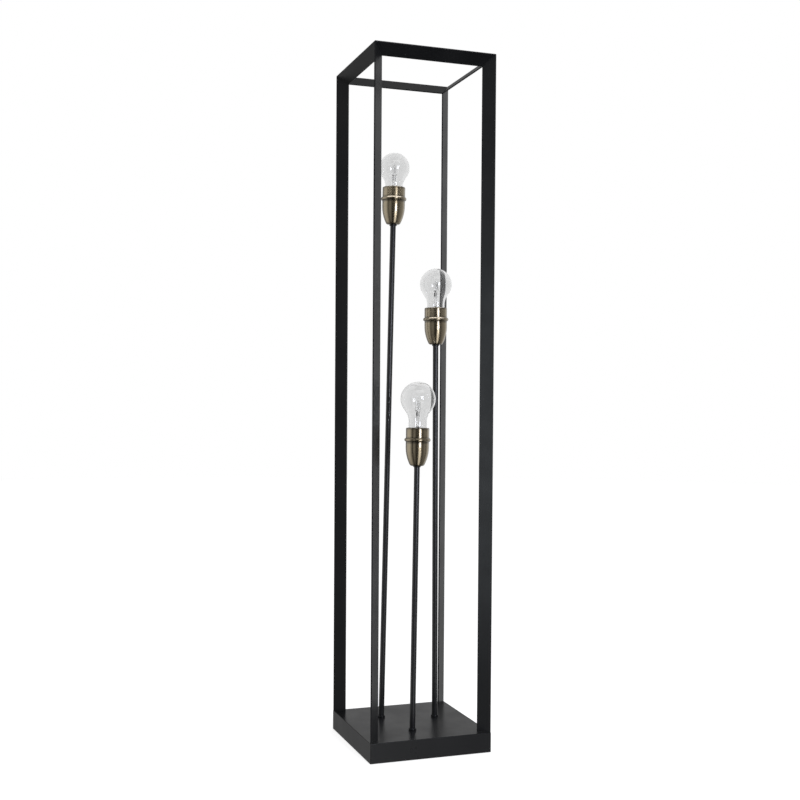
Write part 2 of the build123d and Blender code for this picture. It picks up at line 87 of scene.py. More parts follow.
def light_seat(name):
    """Matrix from a light's own axes, with Z up its stem from the cup's underside, to the lamp's."""
    hinge = hinges[f"bulb_{name}_turn"]
    up = Vector(hinge["axis"])
    right = Vector((up.z, 0, -up.x)).normalized()
    turn = Matrix((right, up.cross(right), up)).transposed()
    return Matrix.Translation(hinge["pos_m"]) @ turn.to_4x4()


def span(node, seat):
    """Lowest and highest level and widest radius of a node, on a seat's own axes."""
    back = seat.inverted()
    places = [back @ vertex.co for vertex in nodes[node].data.vertices]
    levels = [place.z for place in places]
    return min(levels), max(levels), max(place.xy.length for place in places)


seats = {name: light_seat(name) for name in light_names}
for name in light_names:
    print(name, "cup's underside at", [round(value, 3) for value in seats[name].translation])

# %% [markdown]
# ## Building node trees
# Materials and geometry trees are both made of nodes, links and values. One short helper places a node,
# sets its options, and takes each input either as a value or as a socket to link from, so that a tree
# reads from top to bottom like a recipe.

# %% Helpers for node trees


def add(tree, kind, inputs=None, **options):
    """Place a node, set its options, and set or link its inputs."""
    made = tree.nodes.new(kind)
    for label, value in options.items():
        setattr(made, label, value)
    for label, value in (inputs or {}).items():
        if isinstance(value, bpy.types.NodeSocket):
            tree.links.new(value, made.inputs[label])
        else:
            made.inputs[label].default_value = value
    return made


def math(tree, operation, first, second=0.0):
    """Result socket of a Math node."""
    return add(tree, "ShaderNodeMath", {0: first, 1: second}, operation=operation).outputs[0]


def new_group(name, kind, inputs, outputs):
    """Empty node group with named sockets; gives the group and its two ends."""
    group = bpy.data.node_groups.new(name, kind)
    for label, (socket_kind, value) in inputs.items():
        socket = group.interface.new_socket(label, in_out="INPUT", socket_type=socket_kind)
        if value is not None:
            socket.default_value = value
    for label, socket_kind in outputs.items():
        group.interface.new_socket(label, in_out="OUTPUT", socket_type=socket_kind)
    start = group.nodes.new("NodeGroupInput").outputs
    end = group.nodes.new("NodeGroupOutput").inputs
    return group, start, end


print("helpers ready")

# %% [markdown]
# ## Three effects that the finishes share
# No painted, moulded or drawn surface is even. Paint and plastic drift slowly from place to place, carry
# a fine grain, and metal that was turned or drawn has hair lines along its run. Each effect is one node
# group with its size as an input, placed in every material with its own values.

# %% Slow drift from patch to patch
noise_low = 0.3
noise_high = 0.7
drift, drift_in, drift_out = new_group(
    "Drift",
    "ShaderNodeTree",
    {
        "Place": ("NodeSocketVector", None),
        "Size": ("NodeSocketFloat", 0.05),
        "Low": ("NodeSocketFloat", 0.0),
        "High": ("NodeSocketFloat", 1.0),
    },
    {"Value": "NodeSocketFloat"},
)
drift_noise = add(drift, "ShaderNodeTexNoise", {
    "Vector": drift_in["Place"],
    "Scale": math(drift, "DIVIDE", 1.0, drift_in["Size"]),
    "Detail": 3.0,
})
drift_range = add(drift, "ShaderNodeMapRange", {
    "Value": drift_noise.outputs["Fac"],
    "From Min": noise_low,
    "From Max": noise_high,
    "To Min": drift_in["Low"],
    "To Max": drift_in["High"],
})
drift.links.new(drift_range.outputs["Result"], drift_out["Value"])
print("group", drift.name)

# %% Fine grain of paint, plastic and cast metal
grain, grain_in, grain_out = new_group(
    "Grain",
    "ShaderNodeTree",
    {"Place": ("NodeSocketVector", None), "Size": ("NodeSocketFloat", 0.001)},
    {"Height": "NodeSocketFloat"},
)
grain_noise = add(grain, "ShaderNodeTexNoise", {
    "Vector": grain_in["Place"],
    "Scale": math(grain, "DIVIDE", 1.0, grain_in["Size"]),
    "Detail": 2.0,
    "Roughness": 0.6,
})
grain.links.new(grain_noise.outputs["Fac"], grain_out["Height"])
print("group", grain.name)

# %% Hair lines that run round a turned piece
lines, lines_in, lines_out = new_group(
    "Hair lines",
    "ShaderNodeTree",
    {
        "Place": ("NodeSocketVector", None),
        "Spacing": ("NodeSocketFloat", 0.0004),
        "Reach": ("NodeSocketFloat", 0.03),
    },
    {"Height": "NodeSocketFloat"},
)
lines_size = add(lines, "ShaderNodeCombineXYZ", {
    "X": lines_in["Reach"], "Y": lines_in["Reach"], "Z": lines_in["Spacing"],
})
lines_place = add(
    lines, "ShaderNodeVectorMath", {0: lines_in["Place"], 1: lines_size.outputs[0]}, operation="DIVIDE"
)
lines_noise = add(lines, "ShaderNodeTexNoise", {
    "Vector": lines_place.outputs[0], "Scale": 1.0, "Detail": 2.0, "Roughness": 0.7,
})
lines.links.new(lines_noise.outputs["Fac"], lines_out["Height"])
print("group", lines.name)

# %% [markdown]
# ## Finishes
# Most finishes here are the same recipe with other numbers: two near colours that drift into each other,
# a gloss that drifts too, and a relief from grain or hair lines. What is even all over the surface, such
# as Metallic, sits on the shader's own socket. The bronze and the glass add a step of their own.

# %% The recipe that most finishes follow
gloss_patch_share = 0.6


def new_finish(name):
    """Empty material; gives it with its tree, its shader and the piece's own coordinates."""
    made = bpy.data.materials.new(name)
    made.use_nodes = True
    tree = made.node_tree
    place = tree.nodes.new("ShaderNodeTexCoord").outputs["Object"]
    return made, tree, tree.nodes["Principled BSDF"], place


def effect(tree, group, **inputs):
    """What a shared effect puts out, with its inputs set."""
    return add(tree, "ShaderNodeGroup", node_tree=group, inputs=inputs).outputs[0]


def drifting(tree, place, size, low, high):
    """Value that drifts between two others over patches of a size."""
    return effect(tree, drift, Place=place, Size=size, Low=low, High=high)


def relief(tree, height, depth):
    """Normal that follows a height."""
    return add(tree, "ShaderNodeBump", {"Height": height, "Distance": depth}).outputs["Normal"]


def mixed(tree, amount, first, second):
    """Colour between two others."""
    mix = add(tree, "ShaderNodeMix", {"Factor": amount}, data_type="RGBA")
    for socket, colour in ((mix.inputs[6], first), (mix.inputs[7], second)):
        if isinstance(colour, bpy.types.NodeSocket):
            tree.links.new(colour, socket)
        else:
            socket.default_value = (*colour, 1)
    return mix.outputs[2]


def dial(shader, **sockets):
    """Set what is even all over a surface; an underscore in a socket's name stands for a space."""
    for label, value in sockets.items():
        shader.inputs[label.replace("_", " ")].default_value = value


def finish(name, dark, light, rough, patch, size, depth, hair=None, **sockets):
    """Drifting colour and gloss, with a relief of grain, or of hair lines where their reach is given."""
    made, tree, shader, place = new_finish(name)
    if hair is None:
        height = effect(tree, grain, Place=place, Size=size)
    else:
        height = effect(tree, lines, Place=place, Spacing=size, Reach=hair)
    colour = mixed(tree, drifting(tree, place, patch, 0.0, 1.0), dark, light)
    tree.links.new(colour, shader.inputs["Base Color"])
    tree.links.new(drifting(tree, place, gloss_patch_share * patch, *rough), shader.inputs["Roughness"])
    tree.links.new(relief(tree, height, depth), shader.inputs["Normal"])
    dial(shader, **sockets)
    print("finish", name)
    return made


# %% Painted, plated, moulded and glazed finishes
paint_dark = (0.0095, 0.010, 0.011)
paint_light = (0.0135, 0.014, 0.015)
finishes = {
    "black_steel": finish(
        "satin_black_paint", paint_dark, paint_light, rough=(0.27, 0.36),
        patch=80 * mm, size=1.1 * mm, depth=0.005 * mm, Specular_IOR_Level=0.3,
    ),
    "plated_steel": finish(
        "zinc_plate", (0.42, 0.42, 0.41), (0.60, 0.60, 0.57), rough=(0.28, 0.42),
        patch=4 * mm, size=0.3 * mm, depth=0.006 * mm, Metallic=1.0,
    ),
    "ballast_iron": finish(
        "cast_iron", (0.035, 0.032, 0.030), (0.075, 0.068, 0.060), rough=(0.62, 0.82),
        patch=12 * mm, size=1.2 * mm, depth=0.2 * mm, Metallic=0.4,
    ),
    "pad_rubber": finish(
        "pad_rubber", (0.012, 0.012, 0.012), (0.026, 0.025, 0.024), rough=(0.72, 0.88),
        patch=6 * mm, size=0.6 * mm, depth=0.04 * mm,
    ),
    "bush_plastic": finish(
        "black_nylon", (0.010, 0.010, 0.011), (0.020, 0.020, 0.021), rough=(0.38, 0.52),
        patch=6 * mm, size=0.5 * mm, depth=0.02 * mm,
    ),
    "block_plastic": finish(
        "ivory_resin", (0.56, 0.53, 0.46), (0.68, 0.65, 0.58), rough=(0.32, 0.46),
        patch=10 * mm, size=0.8 * mm, depth=0.02 * mm,
    ),
    "wire_sheath": finish(
        "wire_sheath", (0.42, 0.40, 0.35), (0.55, 0.52, 0.46), rough=(0.36, 0.5),
        patch=12 * mm, size=0.6 * mm, depth=0.02 * mm,
    ),
    "porcelain": finish(
        "glazed_porcelain", (0.72, 0.70, 0.64), (0.82, 0.80, 0.75), rough=(0.10, 0.2),
        patch=9 * mm, size=1.4 * mm, depth=0.02 * mm, Coat_Weight=0.6, Coat_Roughness=0.06,
    ),
    "black_glass": finish(
        "black_glass", (0.006, 0.005, 0.008), (0.014, 0.012, 0.017), rough=(0.06, 0.14),
        patch=6 * mm, size=0.9 * mm, depth=0.01 * mm,
    ),
    "contact_brass": finish(
        "bright_brass", (0.58, 0.40, 0.15), (0.74, 0.54, 0.24), rough=(0.22, 0.34),
        patch=6 * mm, size=0.2 * mm, depth=0.008 * mm, hair=20 * mm, Metallic=1.0,
    ),
    "cap_metal": finish(
        "cap_aluminium", (0.62, 0.61, 0.58), (0.78, 0.77, 0.74), rough=(0.24, 0.36),
        patch=7 * mm, size=0.2 * mm, depth=0.008 * mm, hair=20 * mm, Metallic=1.0,
    ),
    "solder": finish(
        "solder", (0.38, 0.38, 0.39), (0.56, 0.56, 0.57), rough=(0.3, 0.5),
        patch=2 * mm, size=0.7 * mm, depth=0.06 * mm, Metallic=1.0,
    ),
}

# %% Finishes of the stems and of the burners' metal
stem_paint = finish(
    "stem_paint", paint_dark, paint_light, rough=(0.32, 0.40),
    patch=60 * mm, size=0.9 * mm, depth=0.004 * mm, Specular_IOR_Level=0.55,
)
lead_nickel = finish(
    "lead_nickel", (0.70, 0.70, 0.70), (0.80, 0.80, 0.80), rough=(0.3, 0.42),
    patch=4 * mm, size=0.2 * mm, depth=0.004 * mm, Metallic=0.3,
)
foil = {"rough": (0.4, 0.55), "patch": 2 * mm, "size": 0.3 * mm, "depth": 0.006 * mm, "Metallic": 0.3}
# The same foil in two colours: a painted lit grey for the tall bulb and a painted shade for the other two.
foil_painted_lit = finish("foil_painted_lit", (0.70, 0.70, 0.705), (0.80, 0.80, 0.805), **foil)
foil_painted_shade = finish("foil_painted_shade", (0.035, 0.035, 0.037), (0.06, 0.06, 0.063), **foil)
tungsten = finish(
    "tungsten", (0.30, 0.30, 0.305), (0.42, 0.42, 0.425), rough=(0.34, 0.48),
    patch=1 * mm, size=0.1 * mm, depth=0.003 * mm, Metallic=1.0,
)

# %% [markdown]
# ## Antique bronze
# The lampholders are spun from sheet and brushed round. Bands darker beside the bead, under the rim and
# at the heel are partly a stain that is rubbed back into the grooves and partly painted shade. Anisotropy
# turned by a quarter stretches each highlight along the stem, across the hair lines, which gives the
# holders their upright streaks. The stain and painted shade follow an attribute that each turned piece
# carries: its level above the cup's underside.

# %% Helper for ramps


def ramp(tree, amount, low, high, stops):
    """Brightness read off a ramp whose stops are given on the amount's own scale."""
    share = math(tree, "DIVIDE", math(tree, "SUBTRACT", amount, low), high - low)
    made = add(tree, "ShaderNodeValToRGB", {"Fac": share})
    elements = made.color_ramp.elements
    elements.remove(elements[1])
    for index, (place, value) in enumerate(stops.items()):
        spot = (place - low) / (high - low)
        element = elements[0] if index == 0 else elements.new(spot)
        element.position = spot
        element.color = (value, value, value, 1)
    return made.outputs["Color"]


print("ramp helper ready")

# %% Bronze of the lampholders
holder_height = span("sleeve_tall", seats["tall"])[1]
# Dark bands by share of the holder's height: under and on the bead and at the curled rim they are partly
# rubbed-back stain and partly painted shade; the heel is darker too.
stain_and_shade_by_level = {
    0.0: 0.55, 0.08: 0.05, 0.58: 0.05, 0.60: 0.9, 0.64: 0.95, 0.66: 0.25, 0.72: 0.15, 0.745: 0.85,
    0.78: 0.05, 0.93: 0.1, 0.97: 0.8, 1.0: 0.95,
}
stain_and_shade_strength = 0.75
wear_patch = 12 * mm
gloss_patch = 10 * mm
stain_and_shade_colour = (0.060, 0.048, 0.028)
bronze, tree, shader, place = new_finish("antique_bronze")
hair = effect(tree, lines, Place=place, Spacing=0.5 * mm, Reach=40 * mm)
worn = math(tree, "MULTIPLY", hair, drifting(tree, place, wear_patch, 0.5, 1.0))
body_colour = mixed(tree, worn, (0.255, 0.208, 0.13), (0.37, 0.305, 0.195))
level = add(tree, "ShaderNodeAttribute", attribute_name="level").outputs["Fac"]
# Stain and painted shade darken the bronze by level along the holder.
stain_and_shade = ramp(tree, math(tree, "DIVIDE", level, holder_height), 0.0, 1.0, stain_and_shade_by_level)
dark_share = math(tree, "MULTIPLY", stain_and_shade, stain_and_shade_strength)
tree.links.new(mixed(tree, dark_share, body_colour, stain_and_shade_colour), shader.inputs["Base Color"])
tree.links.new(drifting(tree, place, gloss_patch, 0.25, 0.30), shader.inputs["Roughness"])
tree.links.new(relief(tree, hair, 0.0015 * mm), shader.inputs["Normal"])
dial(
    shader, Metallic=1.0, Anisotropic=0.8, Anisotropic_Rotation=0.25,
    Coat_Weight=0.9, Coat_Roughness=0.12, Coat_IOR=1.6,
)
finishes["bronze"] = bronze
print("finish", bronze.name)

# %% [markdown]
# ## Clear glass
# A blown bulb is a thin shell, so it is modelled with both faces, and the light bends as it does in the
# real one: the edge goes bright or dark, and a post behind it seems to jump sideways. Blown glass is
# never quite even, so a slow ripple moves the normal a little, and the tint drifts by a hair.

# %% Glass finishes
rim_blend = 0.35
tint_patch = 20 * mm


def glass_finish(name, dark, light, ripple, depth, index):
    """Clear glass with a faint tint and a slow ripple."""
    made, tree, shader, place = new_finish(name)
    edge = add(tree, "ShaderNodeLayerWeight", {"Blend": rim_blend}).outputs["Facing"]
    amount = math(tree, "MULTIPLY", edge, drifting(tree, place, tint_patch, 0.7, 1.0))
    wave = effect(tree, grain, Place=place, Size=ripple)
    tree.links.new(mixed(tree, amount, dark, light), shader.inputs["Base Color"])
    tree.links.new(relief(tree, wave, depth), shader.inputs["Normal"])
    dial(shader, Roughness=0.0, IOR=index, Transmission_Weight=1.0)
    print("finish", name)
    return made


finishes["bulb_glass"] = glass_finish(
    "bulb_glass", (0.855, 0.857, 0.857), (1.0, 1.0, 1.0), ripple=18 * mm, depth=0.08 * mm, index=1.4,
)
finishes["mount_glass"] = glass_finish(
    "mount_glass", (0.90, 0.91, 0.905), (0.97, 0.975, 0.97), ripple=4 * mm, depth=0.05 * mm, index=1.5,
)
finishes["burner_glass"] = glass_finish(
    "quartz", (0.94, 0.942, 0.945), (0.99, 0.99, 0.99), ripple=6 * mm, depth=0.03 * mm, index=1.25,
)

# %% [markdown]
# ## Putting a piece on the lamp
# A finished piece is a plain mesh with its place in its vertices. It gets the finish of the record's slot,
# rides on the body that it belongs to, and the nodes that it stands for are hidden. Smooth shading needs
# sharp edges marked by angle, and large flat faces beside small round ones need weighted normals.

# %% Helpers for pieces


def new_piece(name, bm, crease=35.0):
    """Object from a finished bmesh, shaded smooth up to a crease angle."""
    mesh = bpy.data.meshes.new(name)
    bm.to_mesh(mesh)
    bm.free()
    mesh.shade_smooth()
    mesh.set_sharp_from_angle(angle=radians(crease))
    piece = bpy.data.objects.new(name, mesh)
    scene.collection.objects.link(piece)
    return piece


def flattened(piece):
    """The piece with its modifiers made part of its mesh."""
    bpy.context.view_layer.update()
    graph = bpy.context.evaluated_depsgraph_get()
    mesh = bpy.data.meshes.new_from_object(piece.evaluated_get(graph))
    piece.modifiers.clear()
    piece.data = mesh
    return piece


def weighted(piece):
    """The piece with normals that leave its large flat faces flat."""
    piece.modifiers.new("weight", "WEIGHTED_NORMAL").keep_sharp = True
    return flattened(piece)


def settle(piece, body, slot, *replaced, coat=None):
    """Finish a piece, put it on its body and hide the nodes that it stands for."""
    piece.data.materials.clear()
    piece.data.materials.append(coat or finishes[slot])
    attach(piece, body)
    if replaced:
        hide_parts(*replaced)
    print(f"{piece.name}: {len(piece.data.polygons)} faces on {body}")


# %% [markdown]
# ## The frame of flat bar
# Each edge of the box is one flat bar, set at 45 degrees and mitred where three meet. Drawn bar has long
# edges that are rolled a little round, and those edges catch the light. A copy of each node is merged into
# whole faces and only its long edges are bevelled, because the mitres are welded and ground flush.

# %% Posts and top bars
same_place = 0.01 * mm
same_plane = radians(0.5)
same_run = cos(radians(2))
bar_roll = 0.5 * mm


def merged_copy(node):
    """A node's mesh with its loose triangles merged into whole faces."""
    bm = bmesh.new()
    bm.from_mesh(nodes[node].data)
    bmesh.ops.remove_doubles(bm, verts=bm.verts, dist=same_place)
    bmesh.ops.dissolve_limit(bm, angle_limit=same_plane, verts=bm.verts, edges=bm.edges)
    return bm


def direction(edge):
    """Unit vector along an edge."""
    return (edge.verts[1].co - edge.verts[0].co).normalized()


def softened_bar(node):
    """Flat bar with its long edges rolled round."""
    bm = merged_copy(node)
    run = direction(max(bm.edges, key=lambda edge: edge.calc_length()))
    long_edges = [edge for edge in bm.edges if abs(direction(edge).dot(run)) > same_run]
    bmesh.ops.bevel(bm, geom=long_edges, offset=bar_roll, segments=3, profile=0.5, affect="EDGES")
    return weighted(new_piece(f"{node}_bar", bm))


for node in sorted(nodes):
    if node.startswith(("post_", "top_bar_")):
        settle(softened_bar(node), "lamp", "black_steel", node)

# %% [markdown]
# ## The base
# The tray is folded sheet with small round corners, which the node already has. Its triangles are merged
# in a copy so that the flat faces stay flat and the round edges run smoothly into them.

# %% Tray and cover


def smooth_copy(node, name):
    """Merged copy of a node with weighted normals."""
    return weighted(new_piece(name, merged_copy(node)))


settle(smooth_copy("base_tray", "tray_shell"), "lamp", "black_steel", "base_tray")
settle(smooth_copy("base_cover", "cover_plate"), "lamp", "black_steel", "base_cover")

# %% [markdown]
# ## Turned pieces
# Tubes, cups, collars, porcelain and glass are all round, so each is an outline spun about its axis. The
# outline runs up the outside and down the inside, which leaves every face pointing outwards with nothing
# to recalculate. Corners are eased by a short curve, because no turned or pressed edge is a true corner.

# %% Helpers for turned pieces
turn_sides = 96
pole = 0.001 * mm
corner_share = 0.45


def arc(centre, radius, start, end, steps):
    """Points of an outline on a circle, from one angle in radians to another."""
    angles = [start + (end - start) * step / steps for step in range(steps + 1)]
    return [(centre[0] + radius * cos(angle), centre[1] + radius * sin(angle)) for angle in angles]


def eased(outline, reach, steps=4, closed=True):
    """Outline with each corner drawn round, starting at most a reach before it."""
    points = [Vector(point) for point in outline]
    made = []
    for index, corner in enumerate(points):
        if not closed and index in (0, len(points) - 1):
            made.append(tuple(corner))
            continue
        before = points[index - 1] - corner
        after = points[(index + 1) % len(points)] - corner
        start = corner + before.normalized() * min(reach, corner_share * before.length)
        end = corner + after.normalized() * min(reach, corner_share * after.length)
        for step in range(steps + 1):
            share = step / steps
            first = start.lerp(corner, share)
            made.append(tuple(first.lerp(corner.lerp(end, share), share)))
    return made


def spin(bm, outline, seat, closed=True, sides=turn_sides):
    """Add an outline of radius and level points, spun about a seat's Z, to a bmesh."""
    rings = []
    for radius, level in outline:
        count = sides if radius > pole else 1
        angles = [full_turn * side / sides for side in range(count)]
        reach = radius if count > 1 else 0.0
        rings.append([bm.verts.new(seat @ Vector((reach * cos(a), reach * sin(a), level))) for a in angles])
    pairs = list(zip(rings, rings[1:])) + ([(rings[-1], rings[0])] if closed else [])
    for lower, upper in pairs:
        for side in range(sides):
            corners = [ring[step % len(ring)] for ring, step in (
                (lower, side), (lower, side + 1), (upper, side + 1), (upper, side),
            )]
            whole = list(dict.fromkeys(corners))
            if len(whole) > 2:
                bm.faces.new(whole)


def mark_levels(piece, seat):
    """Store each vertex's level above a seat, for finishes that change along a piece."""
    back = seat.inverted()
    marks = piece.data.attributes.new("level", "FLOAT", "POINT")
    for vertex, mark in zip(piece.data.vertices, marks.data):
        mark.value = (back @ vertex.co).z


def turned(name, outline, seat, closed=True, sides=turn_sides):
    """Piece spun from one outline."""
    bm = bmesh.new()
    spin(bm, outline, seat, closed, sides)
    piece = new_piece(name, bm)
    mark_levels(piece, seat)
    return piece


print("turning helpers ready")

# %% [markdown]
# ## Stems
# Each stem is a thin tube from under the tray to inside the cup, painted like the frame. A cylinder
# with a wall would come close, but a spun outline also gives the cut ends their eased edges.

# %% Stems
stem_wall = 1.0 * mm
stem_edge = 0.2 * mm
stem_sides = 48
for name in light_names:
    low, high, radius = span(f"stem_{name}", seats[name])
    bore = radius - stem_wall
    outline = eased([(bore, low), (radius, low), (radius, high), (bore, high)], stem_edge)
    tube = turned(f"tube_{name}", outline, seats[name], sides=stem_sides)
    settle(tube, "lamp", "black_steel", f"stem_{name}", coat=stem_paint)

# %% [markdown]
# ## What repeats: collars, neck nuts, pads and screws
# Each of these is one shape set out at several places. One geometry tree does it for all: it puts the
# shape on the points of a mesh, turned to the direction that each point carries, makes the copies real
# and gives them their material. The result is kept as a plain mesh.

# %% Tree that sets out copies
setting_out, out_in, out_end = new_group(
    "Set out copies",
    "GeometryNodeTree",
    {
        "Places": ("NodeSocketGeometry", None),
        "Shape": ("NodeSocketObject", None),
        "Finish": ("NodeSocketMaterial", None),
    },
    {"Copies": "NodeSocketGeometry"},
)
shape = add(setting_out, "GeometryNodeObjectInfo", {"Object": out_in["Shape"]})
facing = add(setting_out, "GeometryNodeInputNamedAttribute", {"Name": "facing"}, data_type="FLOAT_VECTOR")
aligned = add(
    setting_out, "FunctionNodeAlignRotationToVector", {"Vector": facing.outputs["Attribute"]}, axis="Z"
)
copies = add(setting_out, "GeometryNodeInstanceOnPoints", {
    "Points": out_in["Places"],
    "Instance": shape.outputs["Geometry"],
    "Rotation": aligned.outputs["Rotation"],
})


def put_out(tree, geometry, coat, end):
    """End a geometry tree: make its copies real, give them their finish and hand them on."""
    real = add(tree, "GeometryNodeRealizeInstances", {"Geometry": geometry}).outputs["Geometry"]
    coated = add(tree, "GeometryNodeSetMaterial", {"Geometry": real, "Material": coat})
    tree.links.new(coated.outputs["Geometry"], end)


def grown(name, tree, mesh, **inputs):
    """Plain piece from a geometry tree run on a mesh with its named inputs."""
    piece = bpy.data.objects.new(name, mesh)
    scene.collection.objects.link(piece)
    modifier = piece.modifiers.new("grow", "NODES")
    modifier.node_group = tree
    for socket in tree.interface.items_tree:
        if socket.item_type == "SOCKET" and socket.in_out == "INPUT" and socket.name in inputs:
            modifier[socket.identifier] = inputs[socket.name]
    return flattened(piece)


def set_out(name, pattern, seat_list, slot, node):
    """Put copies of a pattern on a list of seats, as one piece for a node; the pattern itself goes."""
    mesh = bpy.data.meshes.new(name)
    mesh.from_pydata([seat.translation for seat in seat_list], [], [])
    facing = mesh.attributes.new("facing", "FLOAT_VECTOR", "POINT")
    for seat, mark in zip(seat_list, facing.data):
        mark.vector = seat.to_3x3().col[2]
    piece = grown(name, setting_out, mesh, Shape=pattern, Finish=finishes[slot])
    bpy.data.objects.remove(pattern)
    settle(piece, "lamp", slot, node)


put_out(setting_out, copies.outputs["Instances"], out_in["Finish"], out_end["Copies"])
print("tree", setting_out.name)

# %% Foot collars and neck nuts
upright = Matrix.Identity(4)
ring_sides = 64
ring_gap = 0.2 * mm
collar_edge = 0.6 * mm
nut_height = 2.0 * mm
nut_radius = 6.5 * mm
nut_edge = 0.4 * mm
stem_radius = span("stem_tall", seats["tall"])[2]
ring_bore = stem_radius + ring_gap
collar_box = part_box("foot_collars")
collar_height = collar_box[1].z - collar_box[0].z


def stem_foot(name):
    """Point where a stem's axis meets the top of the base."""
    start = seats[name].translation
    along = seats[name].to_3x3().col[2]
    return start - along * ((start.z - collar_box[0].z) / along.z)


def stem_ring(name, radius, low, high, edge):
    """Pattern of a plain ring round a stem, with its edges eased."""
    outline = [(ring_bore, low), (radius, low), (radius, high), (ring_bore, high)]
    return turned(name, eased(outline, edge), upright, sides=ring_sides)


feet = [stem_foot(name) for name in light_names]
foot_seats = [Matrix.Translation(foot) for foot in feet]
collar_radius = collar_box[1].x - max(foot.x for foot in feet)
collar = stem_ring("collar_pattern", collar_radius, 0.0, collar_height, collar_edge)
set_out("stem_collars", collar, foot_seats, "black_steel", "foot_collars")
nut = stem_ring("nut_pattern", nut_radius, -nut_height, 0.0, nut_edge)
set_out("stem_neck_nuts", nut, list(seats.values()), "black_steel", "neck_nuts")

# %% Pads under the base
pad_radius = 11.0 * mm
pad_edge = 0.5 * mm
pad_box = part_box("foot_pads")
pad_height = pad_box[1].z - pad_box[0].z


def corner_seats(reach, level):
    """Four seats on a square round the lamp's own axis."""
    return [Matrix.Translation((x * reach, y * reach, level)) for x in (-1, 1) for y in (-1, 1)]


pad_corners = [(0, 0), (pad_radius, 0), (pad_radius, pad_height), (0, pad_height)]
pad_outline = eased(pad_corners, pad_edge, closed=False)
pad = turned("pad_pattern", pad_outline, upright, closed=False, sides=ring_sides)
set_out("base_pads", pad, corner_seats(pad_box[1].x - pad_radius, 0.0), "pad_rubber", "foot_pads")

# %% Slotted screws under the base
slot_width = 0.9 * mm
slot_depth = 0.7 * mm
head_height = 1.4 * mm
crown_share = 1.2
dome_share = 0.92
flank_share = 0.75
tip_share = 0.7
screw_sides = 48
screw_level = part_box("base_cover")[0].z


def block(bm, centre, size):
    """Add a block to a bmesh."""
    bmesh.ops.create_cube(bm, size=1.0, matrix=Matrix.Translation(centre) @ Matrix.Diagonal((*size, 1)))


def screw_pattern(head_radius, shank_radius, length):
    """Pan-head screw that points up from its seat at level zero, with a slot across its head."""
    crown = crown_share * head_radius
    dome = arc((0, crown - head_height), crown, -pi / 2, -pi / 5, 6)
    head = [(radius, level) for radius, level in dome if radius < dome_share * head_radius]
    head += [(head_radius, -flank_share * head_height), (head_radius, 0)]
    shank = [(shank_radius, 0), (shank_radius, length - shank_radius / 3)]
    tip = [(tip_share * shank_radius, length), (0, length)]
    screw = turned("screw_pattern", head + shank + tip, upright, closed=False, sides=screw_sides)
    bm = bmesh.new()
    block(bm, (0, 0, -head_height), (3 * head_radius, slot_width, 2 * slot_depth))
    cutter = new_piece("slot_cutter", bm)
    screw.modifiers.new("slot", "BOOLEAN").object = cutter
    flattened(screw)
    bpy.data.objects.remove(cutter)
    return screw


for name, node, head_radius, shank_radius, length in (
    ("cover_fixings", "cover_screws", 3.6 * mm, 2.0 * mm, 10.0 * mm),
    ("ballast_fixings", "ballast_screws", 4.5 * mm, 2.5 * mm, 8.0 * mm),
):
    screw_seats = corner_seats(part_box(node)[1].x - head_radius, screw_level)
    set_out(name, screw_pattern(head_radius, shank_radius, length), screw_seats, "plated_steel", node)

# %% [markdown]
# ## Lampholders
# A holder is spun in two parts. The cup is a bullet: a long flank arc that runs into a tighter heel. The
# sleeve sits on it with a half-round bead and ends in a lip that is curled inwards. Inside stand the
# porcelain body and the threaded shell that takes the bulb.

# %% Cups and sleeves
sheet_wall = 1.0 * mm
flank_radius = 68.0 * mm
heel_radius = 5.0 * mm
shoulder_drop = 9.0 * mm
bead_height = 6.5 * mm
lip_radius = 1.6 * mm
lip_turn = 0.75 * pi
spigot_gap = 0.15 * mm
spigot_wall = 0.8 * mm
cup_edge = 0.4 * mm
neck_edge = 0.3 * mm


def cup_side(wall, radius, shoulder):
    """Heel and flank of the bullet, from the floor up, on the face inside a wall."""
    reach = flank_radius - heel_radius
    turn = asin((shoulder - heel_radius) / reach)
    heel_centre = (radius - flank_radius + reach * cos(turn), heel_radius)
    lower = arc(heel_centre, heel_radius - wall, -pi / 2, -turn, 10)
    upper = arc((radius - flank_radius, shoulder), flank_radius - wall, -turn, 0.0, 20)
    return lower + upper[1:]


def holder_cup(name):
    """Bullet with a floor that sits on the neck nut and a plain rim for the sleeve."""
    seat = seats[name]
    _, top, radius = span(f"cup_{name}", seat)
    shoulder = top - shoulder_drop
    outside = cup_side(0.0, radius, shoulder)
    inside = cup_side(sheet_wall, radius, shoulder)
    rim_corners = [outside[-1], (radius, top), (radius - sheet_wall, top), inside[-1]]
    rim = eased(rim_corners, cup_edge, closed=False)
    outline = [(ring_bore, 0.0), *outside[:-1], *rim, *reversed(inside[:-1]), (ring_bore, sheet_wall)]
    return turned(f"holder_cup_{name}", outline, seat)


